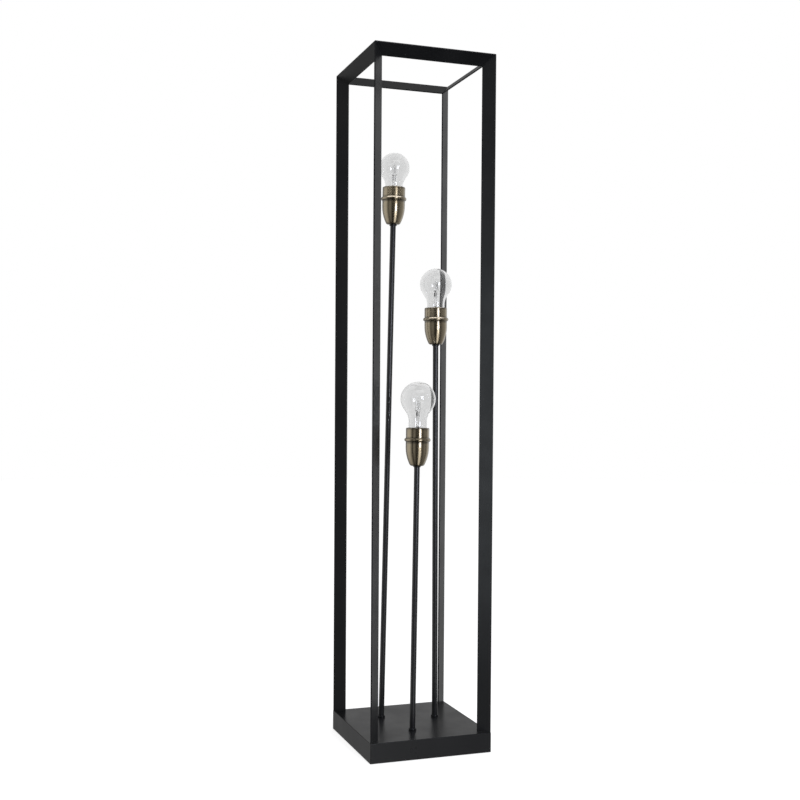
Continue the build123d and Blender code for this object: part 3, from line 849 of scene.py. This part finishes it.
def holder_sleeve(name):
    """Sleeve with its bead, its curled lip and the spigot that goes into the cup."""
    seat = seats[name]
    spigot_low, top, bead_radius = span(f"sleeve_{name}", seat)
    _, seat_level, radius = span(f"cup_{name}", seat)
    middle = seat_level + bead_height / 2
    bulge = bead_radius - radius
    bead_curve = (bulge**2 + (bead_height / 2) ** 2) / (2 * bulge)
    half_angle = acos((bead_curve - bulge) / bead_curve)
    bead = arc((bead_radius - bead_curve, middle), bead_curve, -half_angle, half_angle, 16)
    lip_centre = (radius - lip_radius, top - lip_radius)
    lip = arc(lip_centre, lip_radius, 0.0, lip_turn, 10)
    curl = arc(lip_centre, lip_radius - sheet_wall, lip_turn, 0.0, 6)
    spigot_radius = radius - sheet_wall - spigot_gap
    spigot_bore = spigot_radius - spigot_wall
    neck = eased([
        (radius - sheet_wall, top - lip_radius),
        (radius - sheet_wall, middle),
        (spigot_bore, middle - sheet_wall),
        (spigot_bore, spigot_low),
        (spigot_radius, spigot_low),
        (spigot_radius, seat_level),
        (radius, seat_level),
    ], neck_edge, closed=False)
    return turned(f"holder_sleeve_{name}", [*bead, *lip, *curl[:-1], *neck[:-1]], seat)


for name in light_names:
    settle(holder_cup(name), "lamp", "bronze", f"cup_{name}")
    settle(holder_sleeve(name), "lamp", "bronze", f"sleeve_{name}")

# %% [markdown]
# ## Porcelain
# The glazed core carries the live parts: a boss on the nut, a disc, and a skirt round the threaded shell.
# Stacked cylinders would leave faces inside it, so it is one spun outline. Its corners are eased more
# than the metal's, because fired porcelain has no sharp edge.

# %% Porcelain cores
boss_bore = stem_radius + 0.5 * mm
boss_radius = boss_bore + 4.0 * mm
skirt_bore = 15.0 * mm
skirt_radius = 17.0 * mm
disc_low = 23.0 * mm
disc_top = 31.0 * mm
glaze_edge = 0.7 * mm

for name in light_names:
    low, high, radius = span(f"core_{name}", seats[name])
    outline = eased([
        (0, disc_low), (boss_bore, disc_low), (boss_bore, low), (boss_radius, low), (boss_radius, disc_low),
        (radius, disc_low), (radius, disc_top), (skirt_radius, disc_top), (skirt_radius, high),
        (skirt_bore, high), (skirt_bore, disc_top), (0, disc_top),
    ], glaze_edge, closed=False)
    core = turned(f"porcelain_{name}", outline, seats[name], closed=False)
    settle(core, "lamp", "porcelain", f"core_{name}")

# %% [markdown]
# ## Screw threads
# Cap and shell are thin metal with a round thread rolled into it. The thread is a rule, so a geometry tree
# makes it: a flat grid is wrapped into a tube, and its radius follows a wave that climbs one pitch each
# turn and fades out at both ends. Shell and cap use the same tree, so the one fits in the other.

# %% Tree that rolls a thread
thread_rings = 90
thread, thread_in, thread_end = new_group(
    "Rolled thread",
    "GeometryNodeTree",
    {
        "Mesh": ("NodeSocketGeometry", None),
        "Length": ("NodeSocketFloat", 0.015),
        "Pitch": ("NodeSocketFloat", 0.0036),
        "Root": ("NodeSocketFloat", 0.0121),
        "Crest": ("NodeSocketFloat", 0.0132),
        "Phase": ("NodeSocketFloat", 0.0),
        "Run out": ("NodeSocketFloat", 0.001),
        "Finish": ("NodeSocketMaterial", None),
    },
    {"Tube": "NodeSocketGeometry"},
)
grid = add(thread, "GeometryNodeMeshGrid", {
    "Size X": full_turn,
    "Size Y": thread_in["Length"],
    "Vertices X": turn_sides + 1,
    "Vertices Y": thread_rings,
})
flat_position = add(thread, "GeometryNodeInputPosition").outputs[0]
flat_place = add(thread, "ShaderNodeSeparateXYZ", {0: flat_position}).outputs
climb = math(thread, "ADD", flat_place["Y"], math(thread, "DIVIDE", thread_in["Length"], 2.0))
turns_up = math(thread, "DIVIDE", math(thread, "ADD", climb, thread_in["Phase"]), thread_in["Pitch"])
turns_round = math(thread, "DIVIDE", flat_place["X"], full_turn)
wave_angle = math(thread, "MULTIPLY", math(thread, "SUBTRACT", turns_up, turns_round), full_turn)
wave = math(thread, "ADD", math(thread, "MULTIPLY", math(thread, "COSINE", wave_angle), 0.5), 0.5)
to_top = math(thread, "SUBTRACT", thread_in["Length"], climb)
nearest = math(thread, "MINIMUM", climb, to_top)
fade = add(thread, "ShaderNodeMapRange", {
    "Value": nearest, "From Min": 0.0, "From Max": thread_in["Run out"],
}, interpolation_type="SMOOTHSTEP").outputs["Result"]
rise = math(thread, "MULTIPLY", math(thread, "SUBTRACT", thread_in["Crest"], thread_in["Root"]), wave)
tube_radius = math(thread, "ADD", thread_in["Root"], math(thread, "MULTIPLY", rise, fade))
round_place = add(thread, "ShaderNodeCombineXYZ", {
    "X": math(thread, "MULTIPLY", tube_radius, math(thread, "COSINE", flat_place["X"])),
    "Y": math(thread, "MULTIPLY", tube_radius, math(thread, "SINE", flat_place["X"])),
    "Z": climb,
})
wrapped = add(thread, "GeometryNodeSetPosition", {
    "Geometry": grid.outputs["Mesh"], "Position": round_place.outputs[0],
})
closed_seam = add(thread, "GeometryNodeMergeByDistance", {
    "Geometry": wrapped.outputs["Geometry"], "Distance": same_place,
})
put_out(thread, closed_seam.outputs["Geometry"], thread_in["Finish"], thread_end["Tube"])
print("tree", thread.name)

# %% Helpers for threaded pieces
pitch = 3.629 * mm
thin_wall = 0.35 * mm


def joined(name, seat, *parts):
    """One piece from parts drawn upright, put in its place."""
    bm = bmesh.new()
    for part in parts:
        bm.from_mesh(part.data)
        bpy.data.objects.remove(part)
    bm.transform(seat)
    return new_piece(name, bm, crease=50.0)


def thread_tube(length, low, root, crest, run_out, slot, offset):
    """Threaded tube from a level up, with a thin wall on one side of the rolled face."""
    tube = grown(
        "thread_tube", thread, bpy.data.meshes.new("thread_tube"),
        Length=length, Pitch=pitch, Root=root, Crest=crest, Phase=low, Finish=finishes[slot],
        **{"Run out": run_out},
    )
    wall = tube.modifiers.new("wall", "SOLIDIFY")
    wall.thickness = thin_wall
    wall.offset = offset
    flattened(tube)
    tube.data.transform(Matrix.Translation((0, 0, low)))
    return tube


print("thread helpers ready")

# %% Threaded shells in the holders
cap_root = 12.1 * mm
thread_clearance = 0.4 * mm
shell_run_out = 0.4 * mm
flange_bore = 8.1 * mm
flange_height = 0.8 * mm
flange_inset = 0.2 * mm
flange_edge = 0.2 * mm
for name in light_names:
    low, high, radius = span(f"screw_shell_{name}", seats[name])
    crest = span(f"bulb_cap_{name}", seats[name])[2]
    rim = radius - flange_inset
    flange_top = low + flange_height
    flange_corners = [(flange_bore, low), (rim, low), (rim, flange_top), (flange_bore, flange_top)]
    flange = turned("flange", eased(flange_corners, flange_edge), upright)
    tube_low = low + flange_height / 2
    tube = thread_tube(
        high - tube_low, tube_low, cap_root + thread_clearance, crest + thread_clearance,
        shell_run_out, "contact_brass", offset=1.0,
    )
    shell = joined(f"threaded_shell_{name}", seats[name], flange, tube)
    settle(shell, "lamp", "contact_brass", f"screw_shell_{name}")

# %% Screw caps of the bulbs
thread_length = 15.2 * mm
cap_run_out = 1.2 * mm
band_wall = 0.5 * mm
band_lap = 0.3 * mm
band_flare = 1.2 * mm
band_taper = 0.1 * mm
band_edge = 0.25 * mm
rim_drop = 0.5 * mm
rim_inset = 0.3 * mm
for name in light_names:
    low, high, radius = span(f"bulb_cap_{name}", seats[name])
    band_low = low + thread_length
    band_bore = radius - band_wall
    tube = thread_tube(thread_length, low, cap_root, radius, cap_run_out, "cap_metal", offset=-1.0)
    band = turned("band", eased([
        (cap_root - thin_wall, band_low - band_lap),
        (cap_root, band_low - band_lap),
        (radius, band_low + band_flare),
        (radius, high - rim_drop),
        (radius - rim_inset, high),
        (band_bore - rim_inset, high),
        (band_bore - band_taper, band_low + band_flare + 2 * band_taper),
    ], band_edge), upright)
    cap = joined(f"threaded_cap_{name}", seats[name], tube, band)
    settle(cap, f"bulb_{name}", "cap_metal", f"bulb_cap_{name}")

# %% [markdown]
# ## Bulbs
# The envelope is a ball that draws in through a hollow waist to a straight neck, and its root is
# cemented in the cap. The outline is two tangent arcs and a few straight runs, drawn once outside and once
# a wall's thickness further in.

# %% Envelopes
glass_wall = 0.8 * mm
neck_radius = 15.7 * mm
root_radius = 11.3 * mm
waist_radius = 30.0 * mm
step_start = 6.5 * mm
step_height = 5.0 * mm
neck_bend = 2.5 * mm
bulb_sides = 128


def glass_side(inset, low, crown, ball_radius):
    """Half outline of a bulb from its root to its crown, a wall inside the glass where inset."""
    ball = ball_radius - inset
    neck = neck_radius - inset
    root = root_radius - inset
    waist = waist_radius + inset
    centre = crown - ball_radius
    drop = sqrt((ball + waist) ** 2 - (neck + waist) ** 2)
    tilt = atan2(drop, neck + waist)
    bottom = eased([
        (root, low),
        (root, low + step_start),
        (neck, low + step_start + step_height),
        (neck, centre - drop),
    ], neck_bend, steps=6, closed=False)
    bend = arc((neck + waist, centre - drop), waist, pi, pi - tilt, 16)
    dome = arc((0, centre), ball, -tilt, pi / 2, 44)
    return [*bottom[:-1], *bend, *dome[1:]]


for name in light_names:
    low, crown, ball_radius = span(f"bulb_glass_{name}", seats[name])
    outside = glass_side(0.0, low, crown, ball_radius)
    inside = glass_side(glass_wall, low, crown, ball_radius)
    envelope = turned(f"envelope_{name}", outside + inside[::-1], seats[name], sides=bulb_sides)
    settle(envelope, f"bulb_{name}", "bulb_glass", f"bulb_glass_{name}")

# %% [markdown]
# ## Inside a bulb
# A flared glass mount rises from the neck and is pressed flat round two wires. The wires carry a small
# quartz burner: flat where it was pinched round two foils, round above, with a drawn tip. Rings that go
# from a rounded oblong to a circle give both shapes in one skin.

# %% Helpers for pressed glass


def pressed(bm, rings, seat, sides=64):
    """Skin through rings of level, half width, half depth and squareness, closed at both ends."""
    loops = []
    for level, wide, deep, square in rings:
        loop = []
        for side in range(sides):
            angle = full_turn * side / sides
            across = abs(cos(angle)) ** (2 / square) * (1 if cos(angle) >= 0 else -1)
            along = abs(sin(angle)) ** (2 / square) * (1 if sin(angle) >= 0 else -1)
            loop.append(bm.verts.new(seat @ Vector((wide * across, deep * along, level))))
        loops.append(loop)
    for lower, upper in zip(loops, loops[1:]):
        for side in range(sides):
            after = (side + 1) % sides
            bm.faces.new((lower[side], lower[after], upper[after], upper[side]))
    bm.faces.new(list(reversed(loops[0])))
    bm.faces.new(loops[-1])


def hoop(level, radius):
    """Round ring for a pressed skin."""
    return level, radius, radius, 2


burner_turns = {"tall": radians(20), "middle": radians(30), "short": radians(30)}
burner_seats = {name: seats[name] @ Matrix.Rotation(burner_turns[name], 4, "Z") for name in light_names}
print("pressing helpers ready")

# %% Glass mounts
mount_stem = 3.4 * mm
mount_rise = 3.0 * mm
flare_edge = 0.5 * mm
flare_height = 6.0 * mm
flare_shares = {1.2 * mm: 0.97, 2.4 * mm: 0.66, 4.2 * mm: 0.44}
press_wide = 4.6 * mm
press_deep = 1.9 * mm
press_edge = 0.5 * mm
press_start = 3.5 * mm
press_full = 0.5 * mm
press_round = 0.4 * mm
mount_tops = {}
for name in light_names:
    low, _, radius = span(f"bulb_mount_{name}", seats[name])
    rim_level = span(f"sleeve_{name}", seats[name])[1]
    top = rim_level + mount_rise
    mount_tops[name] = top
    bm = bmesh.new()
    pressed(bm, [
        hoop(low, radius - flare_edge),
        hoop(low + flare_edge, radius),
        *[hoop(low + rise, share * radius) for rise, share in flare_shares.items()],
        hoop(low + flare_height, mount_stem),
        hoop(rim_level - press_start, mount_stem),
        (rim_level - press_full, press_wide, press_deep, 3),
        (top - press_round, press_wide, press_deep, 4),
        (top, press_wide - press_edge, press_deep - press_edge, 4),
    ], burner_seats[name])
    settle(new_piece(f"glass_mount_{name}", bm), f"bulb_{name}", "mount_glass", f"bulb_mount_{name}")

# %% Quartz burners
pinch_wide = 4.0 * mm
pinch_deep = 1.5 * mm
pinch_height = 11.0 * mm
pinch_edge = 0.4 * mm
burner_radius = 5.0 * mm
burner_sides = 64
quartz_wall = 0.9 * mm
tip_radius = 1.0 * mm
tip_height = 2.4 * mm
tip_foot = 0.3 * mm
pinch_to_round = [
    (-2.0 * mm, pinch_wide, pinch_deep, 5),
    (-0.6 * mm, 4.3 * mm, 2.4 * mm, 3),
    (0.8 * mm, 4.8 * mm, 4.2 * mm, 2.2),
    hoop(2.0 * mm, burner_radius),
]
cavity_floor = {2.6 * mm: 1.0, 1.0 * mm: 0.7, 0.6 * mm: 0.0}
dome_angles = [radians(9 * step) for step in range(9)]
burner_foot = {}
for name in light_names:
    low, high, _ = span(f"bulb_burner_{name}", seats[name])
    burner_foot[name] = low
    belly = low + pinch_height
    dome = high - burner_radius
    bm = bmesh.new()
    pressed(bm, [
        (low, pinch_wide - pinch_edge, pinch_deep - pinch_edge, 5),
        (low + pinch_edge, pinch_wide, pinch_deep, 5),
        *[(belly + rise, *ring) for rise, *ring in pinch_to_round],
        *[hoop(dome + burner_radius * sin(angle), burner_radius * cos(angle)) for angle in dome_angles],
        hoop(high + tip_foot, tip_radius),
        hoop(high + 0.7 * tip_height, 0.7 * tip_radius),
        hoop(high + tip_height, 0.2 * tip_radius),
    ], burner_seats[name], burner_sides)
    hollow = burner_radius - quartz_wall
    cavity = arc((0, dome), hollow, pi / 2, 0.0, 12)
    cavity += [(share * hollow, belly + rise) for rise, share in cavity_floor.items()]
    spin(bm, cavity, seats[name], closed=False, sides=burner_sides)
    burner = new_piece(f"quartz_burner_{name}", bm)
    settle(burner, f"bulb_{name}", "burner_glass", f"bulb_burner_{name}")

# %% [markdown]
# ## Wires, foils and filament
# Wires follow a path, so each is a curve with a round section, turned into a mesh. The filament is a coil:
# a geometry tree draws its spiral and gives it its thickness from named inputs. The foils are thin flat
# sheet, so plain blocks do.

# %% Tree that winds a coil
coil, coil_in, coil_end = new_group(
    "Wound coil",
    "GeometryNodeTree",
    {
        "Mesh": ("NodeSocketGeometry", None),
        "Turns": ("NodeSocketFloat", 20.0),
        "Radius": ("NodeSocketFloat", 0.001),
        "Height": ("NodeSocketFloat", 0.009),
        "Wire": ("NodeSocketFloat", 0.00015),
        "Finish": ("NodeSocketMaterial", None),
    },
    {"Coil": "NodeSocketGeometry"},
)
spiral = add(coil, "GeometryNodeCurveSpiral", {
    "Resolution": 16,
    "Rotations": coil_in["Turns"],
    "Start Radius": coil_in["Radius"],
    "End Radius": coil_in["Radius"],
    "Height": coil_in["Height"],
})
section = add(coil, "GeometryNodeCurvePrimitiveCircle", {"Resolution": 6, "Radius": coil_in["Wire"]})
wound = add(coil, "GeometryNodeCurveToMesh", {
    "Curve": spiral.outputs["Curve"], "Profile Curve": section.outputs["Curve"], "Fill Caps": True,
})
put_out(coil, wound.outputs["Mesh"], coil_in["Finish"], coil_end["Coil"])
print("tree", coil.name)

# %% Wires


def wire(name, points, radius):
    """Mesh of a round wire on a smooth line that a few points lead."""
    curve = bpy.data.curves.new(name, "CURVE")
    curve.dimensions = "3D"
    curve.bevel_depth = radius
    curve.bevel_resolution = 3
    curve.use_fill_caps = True
    line = curve.splines.new("NURBS")
    line.points.add(len(points) - 1)
    for point, place in zip(line.points, points):
        point.co = (*place, 1)
    line.order_u = 3
    line.use_endpoint_u = True
    piece = bpy.data.objects.new(name, curve)
    scene.collection.objects.link(piece)
    bpy.context.view_layer.update()
    mesh = bpy.data.meshes.new_from_object(piece.evaluated_get(bpy.context.evaluated_depsgraph_get()))
    bpy.data.objects.remove(piece)
    made = bpy.data.objects.new(name, mesh)
    scene.collection.objects.link(made)
    return made


lead_radius = 0.35 * mm
lead_reach = 2.5 * mm
lead_root = 4.0 * mm
lead_kink = 0.6 * mm
kink_height = 2.0 * mm
pinch_entry = 1.5 * mm
sleeve_radius = 0.6 * mm
sleeve_length = 4.0 * mm
sleeve_edge = 0.2 * mm
sleeve_sides = 24
for name in light_names:
    foot = burner_foot[name]
    start = mount_tops[name] - lead_root
    end = foot + pinch_entry
    middle = (start + end) / 2
    sleeve_low = foot - sleeve_length
    sleeve = eased([
        (lead_radius, sleeve_low), (sleeve_radius, sleeve_low), (sleeve_radius, foot), (lead_radius, foot),
    ], sleeve_edge)
    parts = []
    for side in (-lead_reach, lead_reach):
        route = [
            (0.8 * side, 0, start),
            (0.8 * side, 0, middle - kink_height),
            (1.2 * side, lead_kink, middle),
            (side, 0, middle + kink_height),
            (side, 0, end),
        ]
        parts.append(wire("lead", route, lead_radius))
        parts.append(turned("lead_sleeve", sleeve, Matrix.Translation((side, 0, 0)), sides=sleeve_sides))
    leads = joined(f"burner_leads_{name}", burner_seats[name], *parts)
    settle(leads, f"bulb_{name}", "plated_steel", coat=lead_nickel)

# %% Foils
foil_size = (1.6 * mm, 0.12 * mm, 7.5 * mm)
foil_reach = 2.1 * mm
for name in light_names:
    foil_middle = burner_foot[name] + pinch_entry + foil_size[2] / 2
    bm = bmesh.new()
    for side in (-foil_reach, foil_reach):
        block(bm, (side, 0, foil_middle), foil_size)
    bm.transform(burner_seats[name])
    foils = new_piece(f"burner_foils_{name}", bm)
    # The tall bulb's foils take the painted lit grey, the others the painted shade.
    settle(foils, f"bulb_{name}", "plated_steel", coat=foil_painted_lit if name == "tall" else foil_painted_shade)

# %% Filaments
filament_height = 8.0 * mm
filament_radius = 0.9 * mm
filament_wire = 0.07 * mm
filament_turns = 12.0
filament_rise = 4.5 * mm
leg_radius = 0.2 * mm
leg_drop = 7.0 * mm
leg_reach = 2.6 * mm
leg_bend = 2.0 * mm
crook_reach = 2.0 * mm
for name in light_names:
    foot = burner_foot[name] + pinch_height + filament_rise
    spring = grown(
        "filament", coil, bpy.data.meshes.new("filament"), Turns=filament_turns,
        Radius=filament_radius, Height=filament_height, Wire=filament_wire, Finish=tungsten,
    )
    spring.data.transform(Matrix.Translation((0, 0, foot)))
    lower_leg = wire("leg", [
        (-foil_reach, 0, foot - leg_drop), (-foil_reach, 0, foot - leg_bend), (filament_radius, 0, foot),
    ], leg_radius)
    upper_leg = wire("leg", [
        (foil_reach, 0, foot - leg_drop), (leg_reach, 0, foot), (leg_reach, 0, foot + 0.8 * filament_height),
        (crook_reach, 0, foot + 1.15 * filament_height), (filament_radius, 0, foot + filament_height),
    ], leg_radius)
    filament = joined(f"burner_filament_{name}", burner_seats[name], spring, lower_leg, upper_leg)
    settle(filament, f"bulb_{name}", "plated_steel", coat=tungsten)

# %% [markdown]
# ## The cord bush
# The cord goes in through a bush in the rear wall: a round flange outside and a neck that a nut holds
# inside. The flange is moulded with a rolled edge and a countersunk mouth. It is round, so it is spun
# like the holders, about an axis that points out of the rear wall.

# %% Cord bush
bush_bore = 3.75 * mm
bush_neck = 6.0 * mm
bush_flange = 2.5 * mm
bush_mouth = 0.8 * mm
bush_edge = 0.5 * mm
bush_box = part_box("cord_bush")
bush_centre = (0, cad_box[1].y, (bush_box[0].z + bush_box[1].z) / 2)
bush_seat = Matrix.Translation(bush_centre) @ Matrix.Rotation(-pi / 2, 4, "X")
bush_low, bush_high, bush_radius = span("cord_bush", bush_seat)
flange_low = bush_high - bush_flange
bush_outline = eased([
    (bush_bore, bush_low),
    (bush_neck, bush_low),
    (bush_neck, flange_low),
    (bush_radius, flange_low),
    (bush_radius, bush_high - bush_mouth),
    (bush_radius - 2 * bush_mouth, bush_high),
    (bush_bore + bush_mouth, bush_high),
    (bush_bore, bush_high - bush_mouth),
], bush_edge)
settle(turned("cord_inlet", bush_outline, bush_seat), "lamp", "bush_plastic", "cord_bush")

# %% [markdown]
# ## Nodes that stay
# What is hidden in the base, in the stems or in the cups keeps its CAD shape and gets its finish. A
# finer mesh would not be seen there.

# %% Finishes of the nodes that stay
slots = {part["node"]: part["material_slot"] for part in frame["record"]["subparts"]}
kept = [node for node in sorted(nodes) if not nodes[node].hide_render]
for node in kept:
    nodes[node].data.materials.clear()
    nodes[node].data.materials.append(finishes[slots[node]])
print("nodes that stay:", ", ".join(kept))

# %% [markdown]
# ## Studio
# The lamp stands on a pale floor before a white background. What a black or a bronze surface shows is the
# room that it mirrors, so the room is described too: pale walls beside and behind the lamp, a dark gap
# round the camera, little light from below. To the camera the background is plain white, and through the
# bulbs it is a shade greyer, as glass in front of paper looks. The floor takes light and shadow but is
# left out of reflections and of the light that it would throw back up.

# %% Floor
floor_reach = 7.0
paper_glow = 0.72
bm = bmesh.new()
bmesh.ops.create_circle(bm, cap_ends=True, radius=floor_reach, segments=96)
floor = new_piece("studio_floor", bm)
floor.visible_diffuse = False
floor.visible_glossy = False
paper = bpy.data.materials.new("studio_paper")
paper.use_nodes = True
tree = paper.node_tree
sheet = tree.nodes["Principled BSDF"]
path = tree.nodes.new("ShaderNodeLightPath").outputs
seen = math(tree, "MAXIMUM", path["Is Camera Ray"], path["Is Transmission Ray"])
dial(
    sheet, Base_Color=(0.8, 0.8, 0.8, 1), Roughness=1.0, Specular_IOR_Level=0.0, Emission_Color=(1, 1, 1, 1),
)
tree.links.new(math(tree, "MULTIPLY", seen, paper_glow), sheet.inputs["Emission Strength"])
floor.data.materials.append(paper)
print("floor", floor_reach, "m")

# %% World
# Bearings are in degrees, counted from the camera's side towards its right. Heights run from -1, straight
# down, to 1, straight up. The backdrop and the glass's rim go by how far a direction points away from the
# camera, up to 1. Each table gives the brightness of the room there.
eye = Vector((-0.7069, -1.8965, 0.6062))
to_camera = Vector((eye.x, eye.y, 0)).normalized()
to_right = Vector((-to_camera.y, to_camera.x, 0))
horizon = {
    -180: 0.36, -140: 0.34, -112: 1.0, -80: 1.1, -62: 0.36, -50: 0.18, -40: 0.45, -26: 0.42, -14: 0.06,
    44: 0.05, 72: 0.36, 100: 0.52, 122: 0.7, 138: 1.1, 155: 0.45, 180: 0.36,
}
heights = {-1.0: 0.0, -0.88: 0.1, -0.7: 0.5, -0.4: 0.8, 0.0: 1.0, 1.0: 0.6}
backdrop = {cos(radians(20)): 0.0, cos(radians(6)): 0.5}
from_above = {-0.1: 0.02, 0.2: 0.42}
lit_floor_bearing = {11: 0.0, 17: 1.0, 37: 1.0, 43: 0.0}
lit_floor_height = {-0.97: 0.0, -0.85: 1.7, -0.3: 2.0, -0.1: 0.0}
glass_rim = {-0.1: 0.0, 0.4: 0.95}
paper_white = 1.0
white_through_glass = 0.88

world = bpy.data.worlds.new("studio")
scene.world = world
world.use_nodes = True
tree = world.node_tree


def along(direction):
    """How far the looked-up direction goes along another."""
    inputs = {0: toward, 1: direction}
    return add(tree, "ShaderNodeVectorMath", inputs, operation="DOT_PRODUCT").outputs["Value"]


toward = tree.nodes.new("ShaderNodeTexCoord").outputs["Generated"]
path = tree.nodes.new("ShaderNodeLightPath").outputs
bearing = math(tree, "DEGREES", math(tree, "ARCTAN2", along(to_right), along(to_camera)))
lift = along(Vector((0, 0, 1)))
walls_across = ramp(tree, bearing, -180, 180, horizon)
walls = math(tree, "MULTIPLY", walls_across, ramp(tree, lift, -1, 1, heights))
glow = ramp(tree, along(-to_camera), -1, 1, backdrop)
lit_floor_across = ramp(tree, bearing, -180, 180, lit_floor_bearing)
lit_floor = math(tree, "MULTIPLY", lit_floor_across, ramp(tree, lift, -1, 1, lit_floor_height))
room = math(tree, "ADD", math(tree, "ADD", walls, glow), lit_floor)
clear_room = math(tree, "MAXIMUM", room, ramp(tree, along(-to_camera), -1, 1, glass_rim))
mirrored = {"Factor": path["Is Singular Ray"], "A": room, "B": clear_room}
room = add(tree, "ShaderNodeMix", mirrored).outputs["Result"]
strength = ramp(tree, lift, -1, 1, from_above)
for kind, value in (
    ("Is Glossy Ray", room), ("Is Transmission Ray", white_through_glass), ("Is Camera Ray", paper_white),
):
    strength = add(tree, "ShaderNodeMix", {"Factor": path[kind], "A": strength, "B": value}).outputs["Result"]
background = tree.nodes["Background"]
background.inputs["Color"].default_value = (1, 1, 1, 1)
tree.links.new(strength, background.inputs["Strength"])
scene.view_settings.view_transform = "Standard"
print("world", world.name)

# %% [markdown]
# ## Camera
# The camera stands where the frame's corners fall as the photograph shows them. It looks almost level,
# and the picture is shifted a little in its sensor, as a cropped picture is.

# %% Camera
lens = 51.21
sensor = 36.0
shift = (0.0248, 0.0373)
yaw, tilt, roll = radians(18.873), radians(1.428), radians(0.345)
axes = Matrix.Rotation(roll, 3, "Y") @ Matrix.Rotation(tilt, 3, "X") @ Matrix.Rotation(yaw, 3, "Z")
right, forward, up = axes.row
camera_data = bpy.data.cameras.new("camera")
camera_data.lens = lens
camera_data.sensor_width = sensor
camera_data.shift_x, camera_data.shift_y = shift
camera = bpy.data.objects.new("camera", camera_data)
camera.matrix_world = Matrix.Translation(eye) @ Matrix((right, up, -forward)).transposed().to_4x4()
scene.collection.objects.link(camera)
scene.camera = camera
print("camera", [round(value, 3) for value in eye])

# %% [markdown]
# ## Lights
# Two softboxes light the whole lamp: one beside the camera, which draws the streaks on the holders, and
# one above. Two more are linked to a few pieces only: a window that greys one face of the front right
# post, and a strip overhead that draws the bright line on two bead rings. Unlinked, they would also light
# bars that should stay dark.

# %% Lights
lamp_middle = Vector((0, 0, 0.65))
cool_white = (0.95, 0.98, 1.12)
plain_white = (1.0, 1.0, 1.0)
sky_white = (0.86, 0.94, 1.0)


def softbox(name, colour, turn, lift, distance, width, height, radiance, only=()):
    """Area light that faces the lamp's middle, at an angle to the camera's right and above level."""
    level = to_camera * cos(radians(turn)) + to_right * sin(radians(turn))
    aim = level * cos(radians(lift)) + Vector((0, 0, sin(radians(lift))))
    data = bpy.data.lights.new(name, "AREA")
    data.shape = "RECTANGLE"
    data.size = width
    data.size_y = height
    data.energy = radiance * pi * width * height
    data.color = colour
    made = bpy.data.objects.new(name, data)
    facing = aim.to_track_quat("Z", "Y").to_matrix().to_4x4()
    made.matrix_world = Matrix.Translation(lamp_middle + aim * distance) @ facing
    made.visible_camera = False
    scene.collection.objects.link(made)
    if only:
        lit = bpy.data.collections.new(f"{name}_pieces")
        for piece in only:
            lit.objects.link(bpy.data.objects[piece])
        made.light_linking.receiver_collection = lit
    print(name, "at", [round(value, 2) for value in made.matrix_world.translation])


softbox("key_softbox", cool_white, turn=27, lift=5, distance=2.3, width=0.62, height=0.9, radiance=10.5)
softbox("overhead_softbox", plain_white, turn=20, lift=52, distance=2.2, width=1.8, height=0.8, radiance=1.6)
softbox(
    "window_light", sky_white, turn=-40, lift=-6, distance=1.5, width=0.5, height=1.05, radiance=1.7,
    only=["post_front_right_bar"],
)
softbox(
    "strip_light", cool_white, turn=8, lift=74, distance=1.6, width=3.2, height=0.8, radiance=5.5,
    only=["holder_sleeve_tall", "holder_sleeve_middle"],
)
